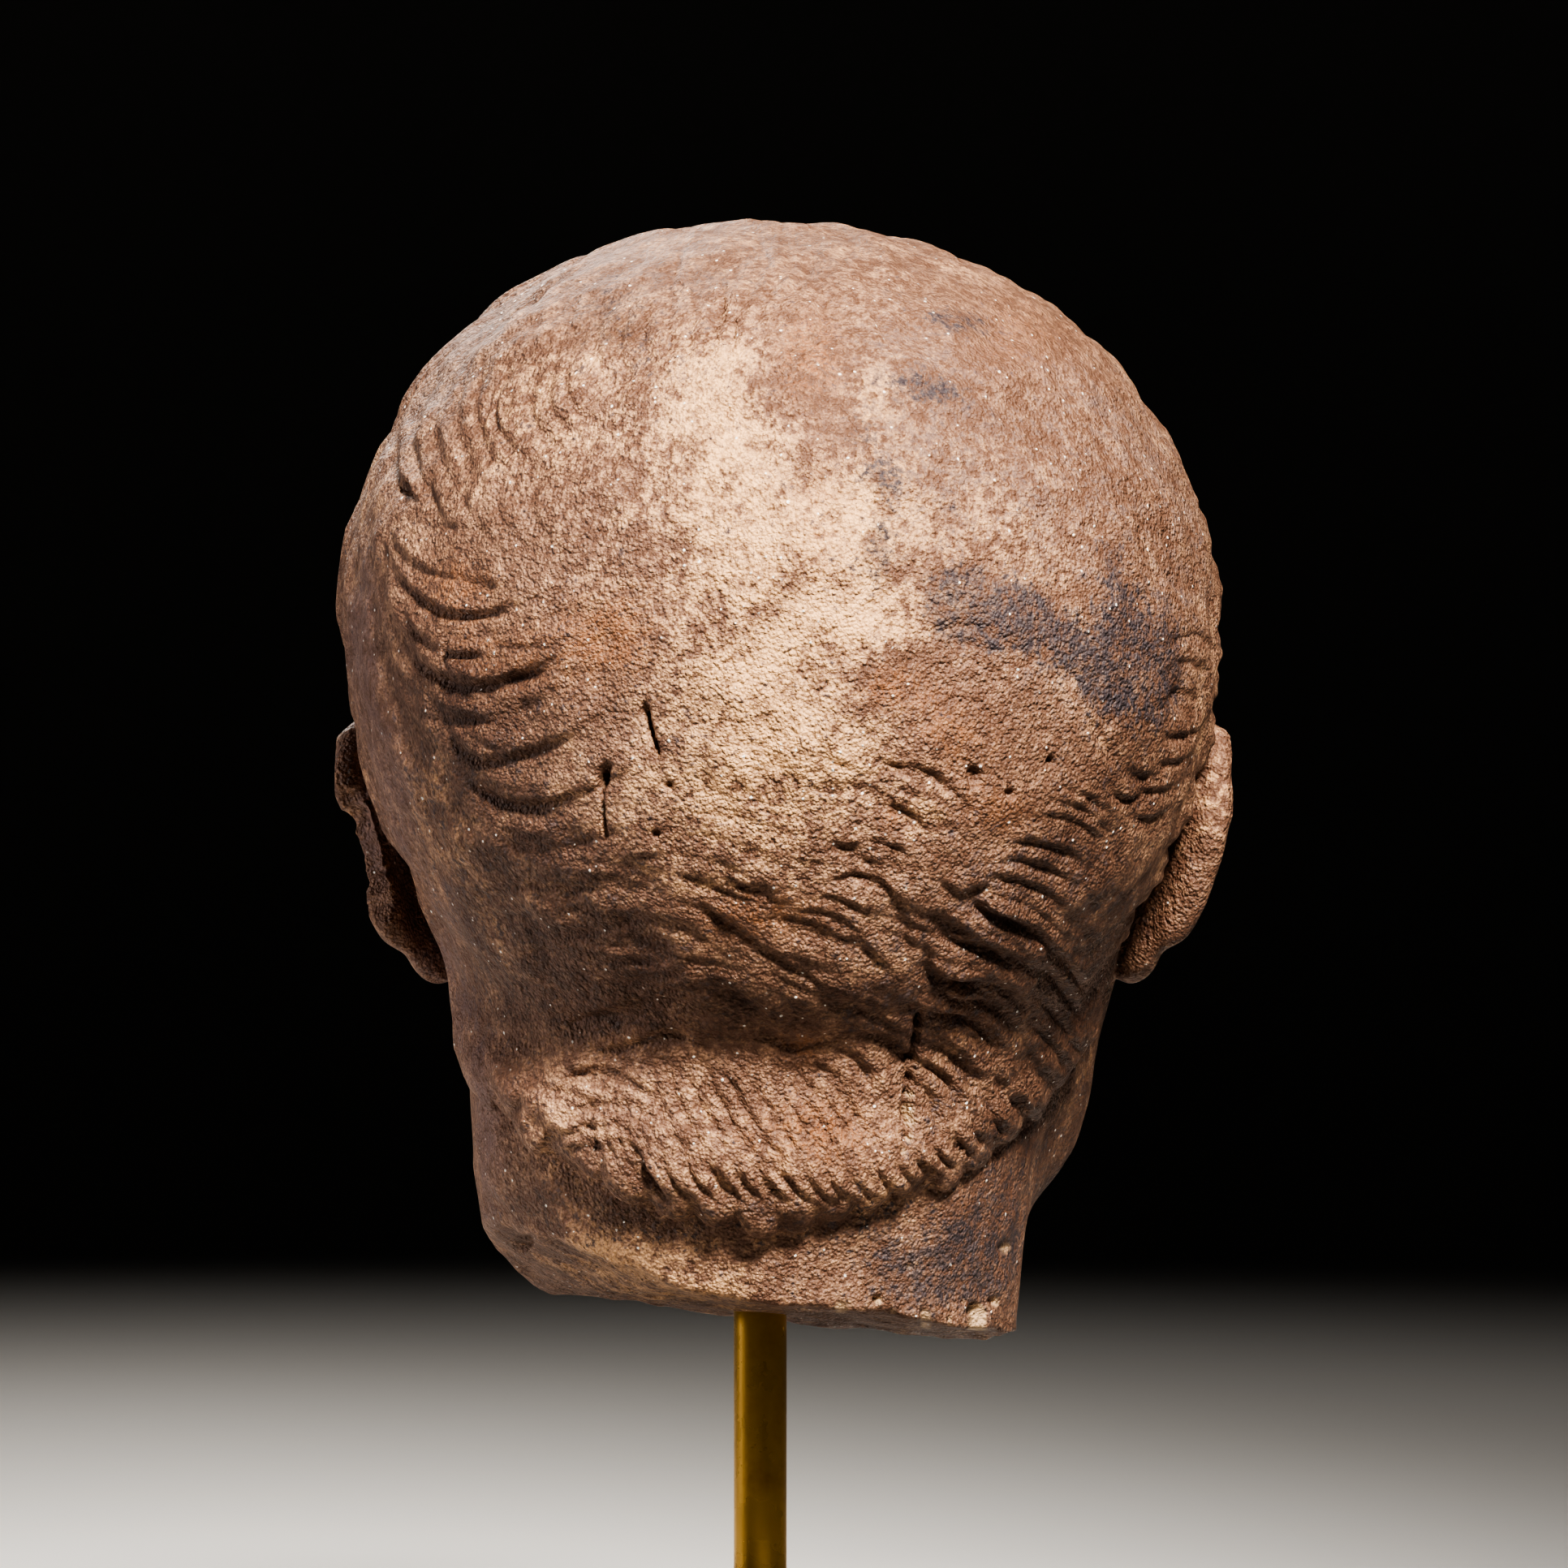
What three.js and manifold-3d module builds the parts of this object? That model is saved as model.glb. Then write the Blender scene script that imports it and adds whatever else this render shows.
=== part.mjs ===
// A life-size marble head with cropped hair, broken through the neck, on a brass rod in a stone block.
// Millimetres, +Z up. The face looks along -Y, and the origin is the centre of the block's underside.
import * as THREE from 'three';
import { mergeVertices } from 'three/addons/utils/BufferGeometryUtils.js';
import Module from 'manifold-3d';

const wasm = await Module();
wasm.setup();

// Driving sizes of the stand
const BLOCK_WIDTH = 120;
const BLOCK_HEIGHT = 42;
const BLOCK_BEVEL = 2.5;
const ROD_DIAMETER = 10;
const ROD_SHOWN = 58;
const ROD_IN_BLOCK = 30;
const ROD_IN_NECK = 60;
const ROD_SIDES = 24;
const CLEARANCE = 0.3;

// Driving sizes of the head, measured from the point midway between the ears
const CROWN = 118;
const HAIR_HALF_WIDTH = 82.6;
const OCCIPUT = 104;
const HAIR_THICKNESS = 4;
const SKULL_MIDDLE = 44;
const BROW_LEVEL = 25;
const EYE_LEVEL = 11;
const EYE_SPACING = 31.5;
const NOSE_BASE = -33;
const MOUTH_LEVEL = -52;
const CHIN_LEVEL = -94;
const NECK_BREAK = { height: -82.1, atX: 5, atY: 56, slopeX: 0.105, slopeY: 0.108 };
const CORNER_BREAK = { height: -72.8, atX: 49.7, atY: 22, slopeX: 0.55, slopeY: 0.27 };
const CROWN_LEAN = 0.022;
const ROD_IN_HEAD = { x: 4.5, y: 8 };

// Driving sizes of the hair: its locks lie in tiers that curl round the crown, angles in radians
const WHORL = new THREE.Vector3(0.15, 0.745, 0.65).normalize();
const HAIR_CENTRE = { y: 10, z: 30 };
const LOCK_RELIEF = 2;
const TIER = 0.36;
const LOCK_WIDTH = 0.24;
const NAPE_FRINGE = -67.8;
const NAPE_LEDGE = 1.7;

// An ear is measured in its own axes: u to its back edge, v up, w away from the head
const EAR_ROOT = { x: 70.5, y: 2, z: 0 };
const EAR_SWING = 27;
const EAR_LEAN_OUT = 16;
const EAR_LEAN_BACK = 9;
const EAR_HALF_HEIGHT = 26;
const EAR_HALF_WIDTH = 14.5;
const RIM = 3;
const FLAKE_FROM_RIM = 1.2;

// How finely the solids are faceted, how far out their points start, and the ray centres they close on
const HEAD_FACETS = { centre: new THREE.Vector3(0, -2, -14), detail: 19, reach: 160 };
const EAR_FACETS = { centre: new THREE.Vector3(-1, 0, -3), detail: 6, reach: 45, flatness: 0.35 };
const WASTE = 400;

// Where the head stands: over the rod, its break clears the block by the length of rod that shows
const BREAK_AT_ROD = NECK_BREAK.height + NECK_BREAK.slopeX * (ROD_IN_HEAD.x - NECK_BREAK.atX)
  + NECK_BREAK.slopeY * (ROD_IN_HEAD.y - NECK_BREAK.atY);
const HEAD_HEIGHT = BLOCK_HEIGHT + ROD_SHOWN - BREAK_AT_ROD;

// Distance fields, negative inside the stone
const clamp01 = (t) => Math.min(1, Math.max(0, t));
const mix = (a, b, t) => a + (b - a) * t;
const smoothstep = (low, high, t) => {
  const s = clamp01((t - low) / (high - low));
  return s * s * (3 - 2 * s);
};
const join = (a, b, softness) => {
  const h = Math.max(softness - Math.abs(a - b), 0) / softness;
  return Math.min(a, b) - (h * h * softness) / 4;
};
const carve = (a, b, softness) => -join(-a, b, softness);

function ellipsoid(x, y, z, [cx, cy, cz], [rx, ry, rz]) {
  const u = (x - cx) / rx;
  const v = (y - cy) / ry;
  const w = (z - cz) / rz;
  const near = Math.sqrt(u * u + v * v + w * w);
  const slope = Math.sqrt((u / rx) ** 2 + (v / ry) ** 2 + (w / rz) ** 2);
  return slope < 1e-9 ? -Math.min(rx, ry, rz) : (near * (near - 1)) / slope;
}

// A rod with round ends from a to b, whose radius runs from ra to rb
function finger(x, y, z, [ax, ay, az], [bx, by, bz], ra, rb = ra) {
  const [ux, uy, uz] = [bx - ax, by - ay, bz - az];
  const [px, py, pz] = [x - ax, y - ay, z - az];
  const t = clamp01((px * ux + py * uy + pz * uz) / (ux * ux + uy * uy + uz * uz));
  const [dx, dy, dz] = [px - ux * t, py - uy * t, pz - uz * t];
  return Math.sqrt(dx * dx + dy * dy + dz * dz) - mix(ra, rb, t);
}

// Braincase, forehead and the bulge of the occiput
function skull(s, y, z) {
  const width = HAIR_HALF_WIDTH - HAIR_THICKNESS;
  const height = CROWN - HAIR_THICKNESS - SKULL_MIDDLE;
  const upper = ellipsoid(s, y, z, [0, 9, SKULL_MIDDLE], [width, OCCIPUT - HAIR_THICKNESS - 9, height]);
  const crown = ellipsoid(s, y, z, [0, 10, 60], [72.5, 84, 54]);
  const forehead = ellipsoid(s, y, z, [0, -20, 34], [63, 69, 72]);
  const occiput = ellipsoid(s, y, z, [0, 27, 12], [63, 65, 55]);
  return join(join(Math.min(upper, crown), forehead, 12), occiput, 24);
}

// Cheekbones, cheeks, jaw and chin
function mask(s, y, z) {
  const cheek = ellipsoid(s, y, z, [15.5, -40, -18], [45.5, 45, 56]);
  const cheekbone = ellipsoid(s, y, z, [44, -49, -4], [20, 23, 17]);
  const muzzle = ellipsoid(s, y, z, [0, -54, MOUTH_LEVEL + 3], [36, 32, 28]);
  const chin = ellipsoid(s, y, z, [0, -71, CHIN_LEVEL + 16], [24, 18.5, 16]);
  const jaw = finger(s, y, z, [18, -62, CHIN_LEVEL + 19], [38.5, -14, CHIN_LEVEL + 44], 16, 15.5);
  const ramus = finger(s, y, z, [38.5, -14, CHIN_LEVEL + 44], [49, -6, -14], 15.5, 16);
  const floor = ellipsoid(s, y, z, [0, -38, CHIN_LEVEL + 30], [40, 42, 26]);
  let d = join(cheek, cheekbone, 16);
  d = join(d, muzzle, 18);
  d = join(d, join(jaw, ramus, 10), 20);
  d = join(d, floor, 16);
  return join(d, chin, 13);
}

// Brow ridge, sunk sockets, plain eyeballs and the lids round them
function eyes(s, y, z, face) {
  const inner = finger(s, y, z, [8, -81, BROW_LEVEL], [32, -77.5, BROW_LEVEL + 4.5], 7.5, 7);
  const outer = finger(s, y, z, [32, -77.5, BROW_LEVEL + 4.5], [51, -58, BROW_LEVEL - 3], 7, 3.5);
  let d = join(face, join(inner, outer, 6), 11);
  d = carve(d, ellipsoid(s, y, z, [EYE_SPACING, -96, EYE_LEVEL + 1], [20.5, 17.5, 12.5]), 10);
  const ball = [EYE_SPACING, -69, EYE_LEVEL];
  const cover = ellipsoid(s, y, z, ball, [16.2, 14.6, 13.6]);
  const u = s - EYE_SPACING;
  const v = z - EYE_LEVEL;
  const upperEdge = Math.sqrt(u * u + (v + 18.2) ** 2) - 23.4;
  const lowerEdge = Math.sqrt(u * u + (v - 21) ** 2) - 25.4;
  const opening = Math.max(upperEdge, lowerEdge, y + 74);
  d = join(d, carve(cover, opening, 0.8), 3);
  return Math.min(d, ellipsoid(s, y, z, ball, [13.2, 12.6, 12.3]));
}

// A straight nose with rounded wings
function nose(s, y, z, face) {
  const root = [0, -80, EYE_LEVEL + 9];
  const tip = [0, -102, NOSE_BASE + 9.5];
  const bridge = finger(s, y, z, root, tip, 7.2, 8.6);
  const flank = ellipsoid(s, y, z, [0, -84, NOSE_BASE + 21], [16.5, 14, 28]);
  const wing = ellipsoid(s, y, z, [9.4, -91, NOSE_BASE + 7], [7.8, 11, 6.6]);
  const septum = finger(s, y, z, [0, -103, NOSE_BASE + 5.5], [0, -90, NOSE_BASE + 1.5], 4.4);
  let d = join(face, flank, 10);
  d = join(d, bridge, 7);
  d = join(d, wing, 7);
  d = join(d, septum, 5);
  const nostril = finger(s, y, z, [5.2, -99, NOSE_BASE - 0.8], [7.4, -92, NOSE_BASE - 0.8], 2.6);
  return carve(d, nostril, 1.6);
}

// Closed lips, the groove over them and the hollow under them
function mouth(s, y, z, face) {
  const line = MOUTH_LEVEL;
  const upper = finger(s, y, z, [3.5, -88.8, line + 4.2], [20, -79.5, line + 1], 5.2, 3);
  const lower = finger(s, y, z, [0, -87, line - 5.2], [15, -81.5, line - 3.6], 6, 4.2);
  let d = join(face, upper, 5);
  d = join(d, lower, 5);
  const parting = finger(s, y, z, [0, -94.4, line - 0.3], [24, -82.5, line - 0.8], 0.9, 1.1);
  d = carve(d, parting, 2.4);
  d = carve(d, ellipsoid(s, y, z, [27, -83, line - 1.5], [3, 4, 4.5]), 7);
  d = carve(d, finger(s, y, z, [0, -95.5, NOSE_BASE - 3], [0, -96.5, line + 11], 2.4), 5);
  return carve(d, ellipsoid(s, y, z, [0, -98, line - 16.5], [20, 10, 7]), 12);
}

// The neck, which leans a little to the figure's left on its way down, and the roll of flesh at the nape
function neck(x, y, z) {
  const cx = mix(0.5, 5.6, clamp01((-10 - z) / 50));
  const column = ellipsoid(x, y, z, [cx, 9, z], [mix(53, 49.5, clamp01((-50 - z) / 40)), 47, 90]);
  const s = Math.abs(x - cx);
  const front = finger(s, y, z, [42, 8, -34], [20, -27, -130], 10);
  const napeRoll = ellipsoid(x, y, z, [8, 30, -52], [42, 32, 23]);
  const height = Math.max(z - 10, -130 - z);
  return Math.max(join(join(column, front, 14), napeRoll, 18), height);
}

// How far inside the hair a point lies, in millimetres along the scalp: negative on bare skin
function hairDepth(x, y, z) {
  const s = Math.abs(x);
  const forelocks = 3.2 * Math.sin(s * 0.42 + 0.6) + 1.4 * Math.sin(s * 0.19);
  const forehead = (y + 80) * 0.55 + (z - 77) * 0.835 + forelocks;
  const sideburn = join(y + 40, (z - 4) * 0.9 + 9 * Math.max(0, y + 2), 12);
  const nape = NAPE_FRINGE + 0.0078 * (x - 2) ** 2 + 1.8 * Math.sin(x * 0.42 + 1);
  const behindEar = mix(2, nape, smoothstep(-6, 17, y));
  const roundEar = (Math.sqrt(((y - EAR_ROOT.y + 5) / 17) ** 2 + ((z - EAR_ROOT.z + 2) / 27) ** 2) - 1) * 17;
  const edge = Math.min(-join(-forehead, -sideburn, 8), z - behindEar);
  return s > 50 ? join(edge, roundEar, 6) : edge;
}

// Height of the hair over the scalp: a step at its edge, then the tiers of locks
const WHORL_SIDE = new THREE.Vector3(1, 0, 0).cross(WHORL).normalize();
const WHORL_ACROSS = WHORL.clone().cross(WHORL_SIDE);

function locks(x, y, z) {
  const [px, py, pz] = [x, y - HAIR_CENTRE.y, z - HAIR_CENTRE.z];
  const length = Math.sqrt(px * px + py * py + pz * pz) + 1e-6;
  const along = (px * WHORL.x + py * WHORL.y + pz * WHORL.z) / length;
  const side = px * WHORL_SIDE.x + py * WHORL_SIDE.y + pz * WHORL_SIDE.z;
  const across = px * WHORL_ACROSS.x + py * WHORL_ACROSS.y + pz * WHORL_ACROSS.z;
  const down = Math.acos(Math.min(1, Math.max(-1, along)));
  const turn = Math.atan2(side, across) + 0.5 * down;
  const tier = down / TIER;
  const row = Math.floor(tier);
  const t = tier - row;
  const count = Math.max(5, Math.round((2 * Math.PI * Math.sin((row + 0.5) * TIER)) / LOCK_WIDTH));
  const place = (turn * count) / (2 * Math.PI) + row * 0.37 + 0.8 * t * t;
  const swell = 1 - Math.abs(2 * (place - Math.floor(place)) - 1) ** 1.6;
  return swell * Math.min(1, 3.5 * t) * (1 - smoothstep(0.72, 1, t));
}

function hair(x, y, z) {
  const depth = hairDepth(x, y, z);
  if (depth < -2) return 0;
  const step = smoothstep(-1.5, 4, depth);
  const atNape = smoothstep(24, 2, z - NAPE_FRINGE) * smoothstep(0, 25, y);
  const thickness = mix(2.6, HAIR_THICKNESS, smoothstep(-60, 20, z)) + NAPE_LEDGE * atNape;
  const worn = Math.exp(-(((x + 10) / 36) ** 2) - ((z - 48) / 36) ** 2) * smoothstep(0, 40, y);
  const wear = 1 - 0.75 * worn;
  return step * (thickness - LOCK_RELIEF * 0.5 + LOCK_RELIEF * wear * locks(x, y, z));
}

// The crown leans a little to the figure's left
function headField(straight, y, z) {
  const x = straight - CROWN_LEAN * Math.max(0, z - 20);
  const s = Math.abs(x);
  let d = join(skull(s, y, z), mask(s, y, z), 16);
  d = eyes(s, y, z, d);
  d = nose(s, y, z, d);
  d = mouth(s, y, z, d);
  d = join(d, neck(x, y, z), 12);
  return d - hair(x, y, z);
}

// A bent cord along an ellipse, from one angle to another in degrees, thinning out at its ends
function cord(u, v, w, [cu, cv], [a, b], lift, radius, [from, to]) {
  const angle = THREE.MathUtils.radToDeg(Math.atan2((v - cv) / b, (u - cu) / a));
  const off = ellipsoid(u, v, 0, [cu, cv, 0], [a, b, 1e6]);
  const middle = (from + to) / 2;
  const past = Math.abs(((angle - middle + 540) % 360) - 180) - (to - from) / 2;
  const thin = radius * (1 - smoothstep(-25, 10, past));
  return Math.sqrt(off * off + (w - lift) ** 2) - thin;
}

function earField(u, v, w) {
  const plate = ellipsoid(u, v, w, [2, 1.5, 0], [EAR_HALF_WIDTH - 0.5, EAR_HALF_HEIGHT - 2, 3.4]);
  const helix = cord(u, v, w, [2.5, 2.5], [EAR_HALF_WIDTH - 2.5, EAR_HALF_HEIGHT - 5], 1.8, RIM, [-60, 190]);
  const inner = cord(u, v, w, [-1, -1], [8.5, 13], 2, RIM * 0.8, [-95, 75]);
  const lobe = ellipsoid(u, v, w, [-0.5, -18.5, 0.5], [8, 7, 4]);
  const root = ellipsoid(u, v, w, [-5, -1, -9], [11, 19, 10]);
  let d = join(join(plate, lobe, 5), root, 6);
  d = join(join(d, helix, 2.5), inner, 2.5);
  d = carve(d, ellipsoid(u, v, w, [-2, -4, 6], [7, 10, 7.5]), 2.5);
  return join(d, ellipsoid(u, v, w, [-9.5, -5, 0.5], [4.5, 6.5, 4.5]), 3);
}

// The stretched sphere that closes on a field's surface: each point slides in along its ray from the centre,
// flatness draws the points out to a flat shape's rim, and the pulls draw them in to the finer features,
// [direction, strength, width] each
function wrap(field, { centre, detail, reach, flatness = 1, pulls = [] }) {
  const ball = new THREE.IcosahedronGeometry(1, detail);
  ball.deleteAttribute('normal');
  ball.deleteAttribute('uv');
  const shell = mergeVertices(ball, 1e-5);
  const points = shell.attributes.position;
  const ray = new THREE.Vector3();
  for (let i = 0; i < points.count; i++) {
    ray.fromBufferAttribute(points, i);
    ray.z *= flatness;
    ray.normalize();
    for (const [towards, strength, width] of pulls) {
      const aim = new THREE.Vector3(...towards).normalize();
      const nearness = Math.exp(-ray.distanceToSquared(aim) / (width * width));
      ray.lerp(aim, strength * nearness).normalize();
    }
    let distance = reach;
    let gap = Infinity;
    for (let walk = 0; walk < 400 && Math.abs(gap) > 0.01 && distance > 1; walk++) {
      const p = ray.clone().multiplyScalar(distance).add(centre);
      gap = field(p.x, p.y, p.z);
      distance -= gap * 0.6;
    }
    points.setXYZ(i, centre.x + ray.x * distance, centre.y + ray.y * distance, centre.z + ray.z * distance);
  }
  return shell;
}

// A three.js geometry, placed by a matrix, as a solid that can be cut and joined
function solidOf(geometry, matrix = new THREE.Matrix4()) {
  const bare = geometry.index ? geometry.toNonIndexed() : geometry.clone();
  bare.deleteAttribute('normal');
  bare.deleteAttribute('uv');
  const merged = mergeVertices(bare.applyMatrix4(matrix), 1e-3);
  return new wasm.Manifold(
    new wasm.Mesh({
      numProp: 3,
      vertProperties: merged.attributes.position.array,
      triVerts: new Uint32Array(merged.index.array),
    }),
  );
}

function geometryOf(solid) {
  const mesh = solid.getMesh();
  const geometry = new THREE.BufferGeometry();
  geometry.setAttribute('position', new THREE.BufferAttribute(new Float32Array(mesh.vertProperties), 3));
  geometry.setIndex(new THREE.BufferAttribute(new Uint32Array(mesh.triVerts), 1));
  geometry.computeVertexNormals();
  return geometry;
}

// Everything below a plane, given by its height at a point and its slopes, as a solid to take away
function below({ height, atX, atY, slopeX, slopeY }) {
  const up = new THREE.Vector3(-slopeX, -slopeY, 1).normalize();
  const turn = new THREE.Quaternion().setFromUnitVectors(new THREE.Vector3(0, 0, 1), up);
  const place = new THREE.Vector3(atX, atY, height).addScaledVector(up, -WASTE / 2);
  const matrix = new THREE.Matrix4().compose(place, turn, new THREE.Vector3(1, 1, 1));
  return solidOf(new THREE.BoxGeometry(WASTE, WASTE, WASTE), matrix);
}

// The two ears lean out at the top and back, and their back edges stand away from the head
function earMatrix(side) {
  const swing = THREE.MathUtils.degToRad(EAR_SWING);
  const back = new THREE.Vector3(Math.sin(swing), Math.cos(swing), 0);
  const out = new THREE.Vector3(Math.cos(swing), -Math.sin(swing), 0);
  const axes = new THREE.Matrix4().makeBasis(back, new THREE.Vector3(0, 0, 1), out);
  const lean = new THREE.Matrix4().makeRotationY(THREE.MathUtils.degToRad(EAR_LEAN_OUT));
  const tip = new THREE.Matrix4().makeRotationX(-THREE.MathUtils.degToRad(EAR_LEAN_BACK));
  const place = new THREE.Matrix4().makeTranslation(EAR_ROOT.x, EAR_ROOT.y, EAR_ROOT.z);
  const mirror = new THREE.Matrix4().makeScale(side, 1, 1);
  return mirror.multiply(place).multiply(tip).multiply(lean).multiply(axes);
}

// The head before it was broken off, with its ears. The left one has lost the front of its rim
function wholeHead() {
  const pulls = [
    [[0, -1, -0.15], 0.22, 0.9],
    [[0.38, -0.88, 0.33], 0.42, 0.2],
    [[-0.38, -0.88, 0.33], 0.42, 0.2],
    [[0, -1, -0.16], 0.3, 0.2],
    [[0, -0.92, -0.42], 0.4, 0.24],
  ];
  const head = solidOf(wrap(headField, { ...HEAD_FACETS, pulls }));
  const ear = solidOf(wrap(earField, EAR_FACETS));
  const flake = new THREE.BoxGeometry(10, 30, 10).translate(EAR_HALF_WIDTH + 5 - FLAKE_FROM_RIM, 6, 5.5);
  const left = ear.subtract(solidOf(flake)).transform(earMatrix(1).elements);
  const right = ear.transform(earMatrix(-1).elements);
  return wasm.Manifold.union([head, left, right]);
}

// An upright cylinder on the rod's axis: the rod itself, or a hole that takes it with a little play
function rodSolid(radius, bottom, top) {
  const rod = new THREE.CylinderGeometry(radius, radius, top - bottom, ROD_SIDES);
  rod.rotateX(Math.PI / 2);
  rod.translate(0, 0, (top + bottom) / 2);
  return solidOf(rod);
}

const shift = [-ROD_IN_HEAD.x, -ROD_IN_HEAD.y, HEAD_HEIGHT];
const rodTop = BLOCK_HEIGHT + ROD_SHOWN + ROD_IN_NECK;
const rodBottom = BLOCK_HEIGHT - ROD_IN_BLOCK;
const broken = wholeHead().subtract(below(NECK_BREAK)).subtract(below(CORNER_BREAK)).translate(shift);
const hole = (from, to) => rodSolid(ROD_DIAMETER / 2 + CLEARANCE, from, to);
const head = broken.subtract(hole(0, rodTop + CLEARANCE));
const rod = rodSolid(ROD_DIAMETER / 2, rodBottom, rodTop);

function blockSolid() {
  const inset = BLOCK_WIDTH / 2 - BLOCK_BEVEL;
  const square = new THREE.Shape();
  square.moveTo(-inset, -inset);
  square.lineTo(inset, -inset);
  square.lineTo(inset, inset);
  square.lineTo(-inset, inset);
  square.closePath();
  const bevel = { bevelThickness: BLOCK_BEVEL, bevelSize: BLOCK_BEVEL, bevelSegments: 1 };
  const depth = BLOCK_HEIGHT - 2 * BLOCK_BEVEL;
  const slab = new THREE.ExtrudeGeometry(square, { depth, bevelEnabled: true, ...bevel });
  slab.translate(0, 0, BLOCK_BEVEL);
  return solidOf(slab);
}

const block = blockSolid().subtract(hole(rodBottom - CLEARANCE, BLOCK_HEIGHT + 1));

function piece(name, solid, color, roughness, metalness = 0) {
  const material = new THREE.MeshStandardMaterial({ color, roughness, metalness });
  const mesh = new THREE.Mesh(geometryOf(solid), material);
  mesh.name = name;
  return mesh;
}

const model = new THREE.Group();
model.add(
  piece('marble_head', head, 0x9a8468, 0.6),
  piece('brass_rod', rod, 0xb98a3c, 0.3, 1),
  piece('base_block', block, 0x2b2a2c, 0.5),
);

export default model;
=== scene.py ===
import math

import bmesh
import bpy
import numpy as np
from mathutils import Matrix, Vector


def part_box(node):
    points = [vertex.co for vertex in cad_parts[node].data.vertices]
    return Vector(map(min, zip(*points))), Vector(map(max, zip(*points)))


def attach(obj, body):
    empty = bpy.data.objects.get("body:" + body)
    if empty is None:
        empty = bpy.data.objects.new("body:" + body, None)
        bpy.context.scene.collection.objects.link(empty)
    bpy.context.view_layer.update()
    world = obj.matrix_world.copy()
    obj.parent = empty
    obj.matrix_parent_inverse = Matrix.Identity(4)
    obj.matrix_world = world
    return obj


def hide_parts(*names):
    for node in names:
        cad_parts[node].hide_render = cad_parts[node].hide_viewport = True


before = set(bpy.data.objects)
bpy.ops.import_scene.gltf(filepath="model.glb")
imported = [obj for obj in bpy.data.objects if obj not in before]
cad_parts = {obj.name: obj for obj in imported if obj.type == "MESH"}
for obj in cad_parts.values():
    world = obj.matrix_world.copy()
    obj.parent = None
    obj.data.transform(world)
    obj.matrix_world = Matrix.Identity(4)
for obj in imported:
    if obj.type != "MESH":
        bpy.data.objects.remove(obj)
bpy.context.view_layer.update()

MM = 0.001


# Camera
# The head is seen straight from behind, level, from a little over a metre away. It fills most of a square
# frame, and the stone foot lies just below it. The scale holds FRAMED_DEPTH mm behind the rod's axis.
PHOTO_SIZE = 1932
PIXELS_PER_MM = 6.56
SENSOR_WIDTH = 36
CAMERA_PLACE = Vector((-4.5, 1207.0, 200.0)) * MM
FRAMED_DEPTH = 7.0
FRAME_DISTANCE = CAMERA_PLACE.y / MM - FRAMED_DEPTH
FRAMED_WIDTH = PHOTO_SIZE / PIXELS_PER_MM


def placed(name, data):
    """A new object of the scene, at the origin."""
    made = bpy.data.objects.new(name, data)
    bpy.context.scene.collection.objects.link(made)
    return made


camera_data = bpy.data.cameras.new("camera")
camera_data.sensor_width = SENSOR_WIDTH
camera_data.lens = SENSOR_WIDTH * FRAME_DISTANCE / FRAMED_WIDTH
camera = placed("camera", camera_data)
camera.location = CAMERA_PLACE
camera.rotation_euler = (math.radians(90), 0, math.radians(180))
bpy.context.scene.camera = camera


# Marble head, the form
# One block of marble, carved all round and broken off through the neck. The sizes are millimetres from the
# point midway between the ears, as on the solid, and every surface is a smooth distance field.
CROWN = 118
HAIR_HALF_WIDTH = 82.6
OCCIPUT = 104
HAIR_THICKNESS = 4
SKULL_MIDDLE = 44
BROW_LEVEL = 25
EYE_LEVEL = 11
EYE_SPACING = 31.5
NOSE_BASE = -33
MOUTH_LEVEL = -52
CHIN_LEVEL = -94
CROWN_LEAN = 0.022
EAR_ROOT = (70.5, 2.0, 0.0)
EAR_SWING = 27
EAR_LEAN_OUT = 16
EAR_LEAN_BACK = 9
EAR_HALF_HEIGHT = 26
EAR_HALF_WIDTH = 14.5
RIM = 3
NAPE_FRINGE = -67.8
NAPE_LEDGE = 3.2
NAPE_ROLL = 9
ROD_IN_HEAD = (4.5, 8.0)
ROD_HOLE_RADIUS = 5.3
ROD_SHOWN = 58
ROD_IN_NECK = 60
BLOCK_HEIGHT = 42
NECK_BREAK = {"height": -82.1, "at": (5, 56), "slope": (0.105, 0.108)}
CORNER_BREAK = {"height": -72.8, "at": (49.7, 22), "slope": (0.55, 0.27)}


def plane_height(plane, x, y):
    """The height of a slanting plane over a place."""
    at, slope = plane["at"], plane["slope"]
    return plane["height"] + slope[0] * (x - at[0]) + slope[1] * (y - at[1])


HEAD_ORIGIN = np.array([
    -ROD_IN_HEAD[0],
    -ROD_IN_HEAD[1],
    BLOCK_HEIGHT + ROD_SHOWN - plane_height(NECK_BREAK, *ROD_IN_HEAD),
])


def mix(a, b, t):
    return a + (b - a) * t


def smoothstep(low, high, value):
    t = np.clip((value - low) / (high - low), 0, 1)
    return t * t * (3 - 2 * t)


def join(a, b, softness):
    """Two forms in one, with a soft hollow where they meet."""
    h = np.maximum(softness - np.abs(a - b), 0) / softness
    return np.minimum(a, b) - h * h * softness / 4


def carve(a, b, softness):
    """What two forms share, with a softened edge. With the second one turned inside out, that is a cut."""
    return -join(-a, b, softness)


def ellipsoid(x, y, z, centre, radii):
    u, v, w = (x - centre[0]) / radii[0], (y - centre[1]) / radii[1], (z - centre[2]) / radii[2]
    near = np.sqrt(u * u + v * v + w * w)
    slope = np.sqrt((u / radii[0]) ** 2 + (v / radii[1]) ** 2 + (w / radii[2]) ** 2)
    return near * (near - 1) / np.maximum(slope, 1e-9)


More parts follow.
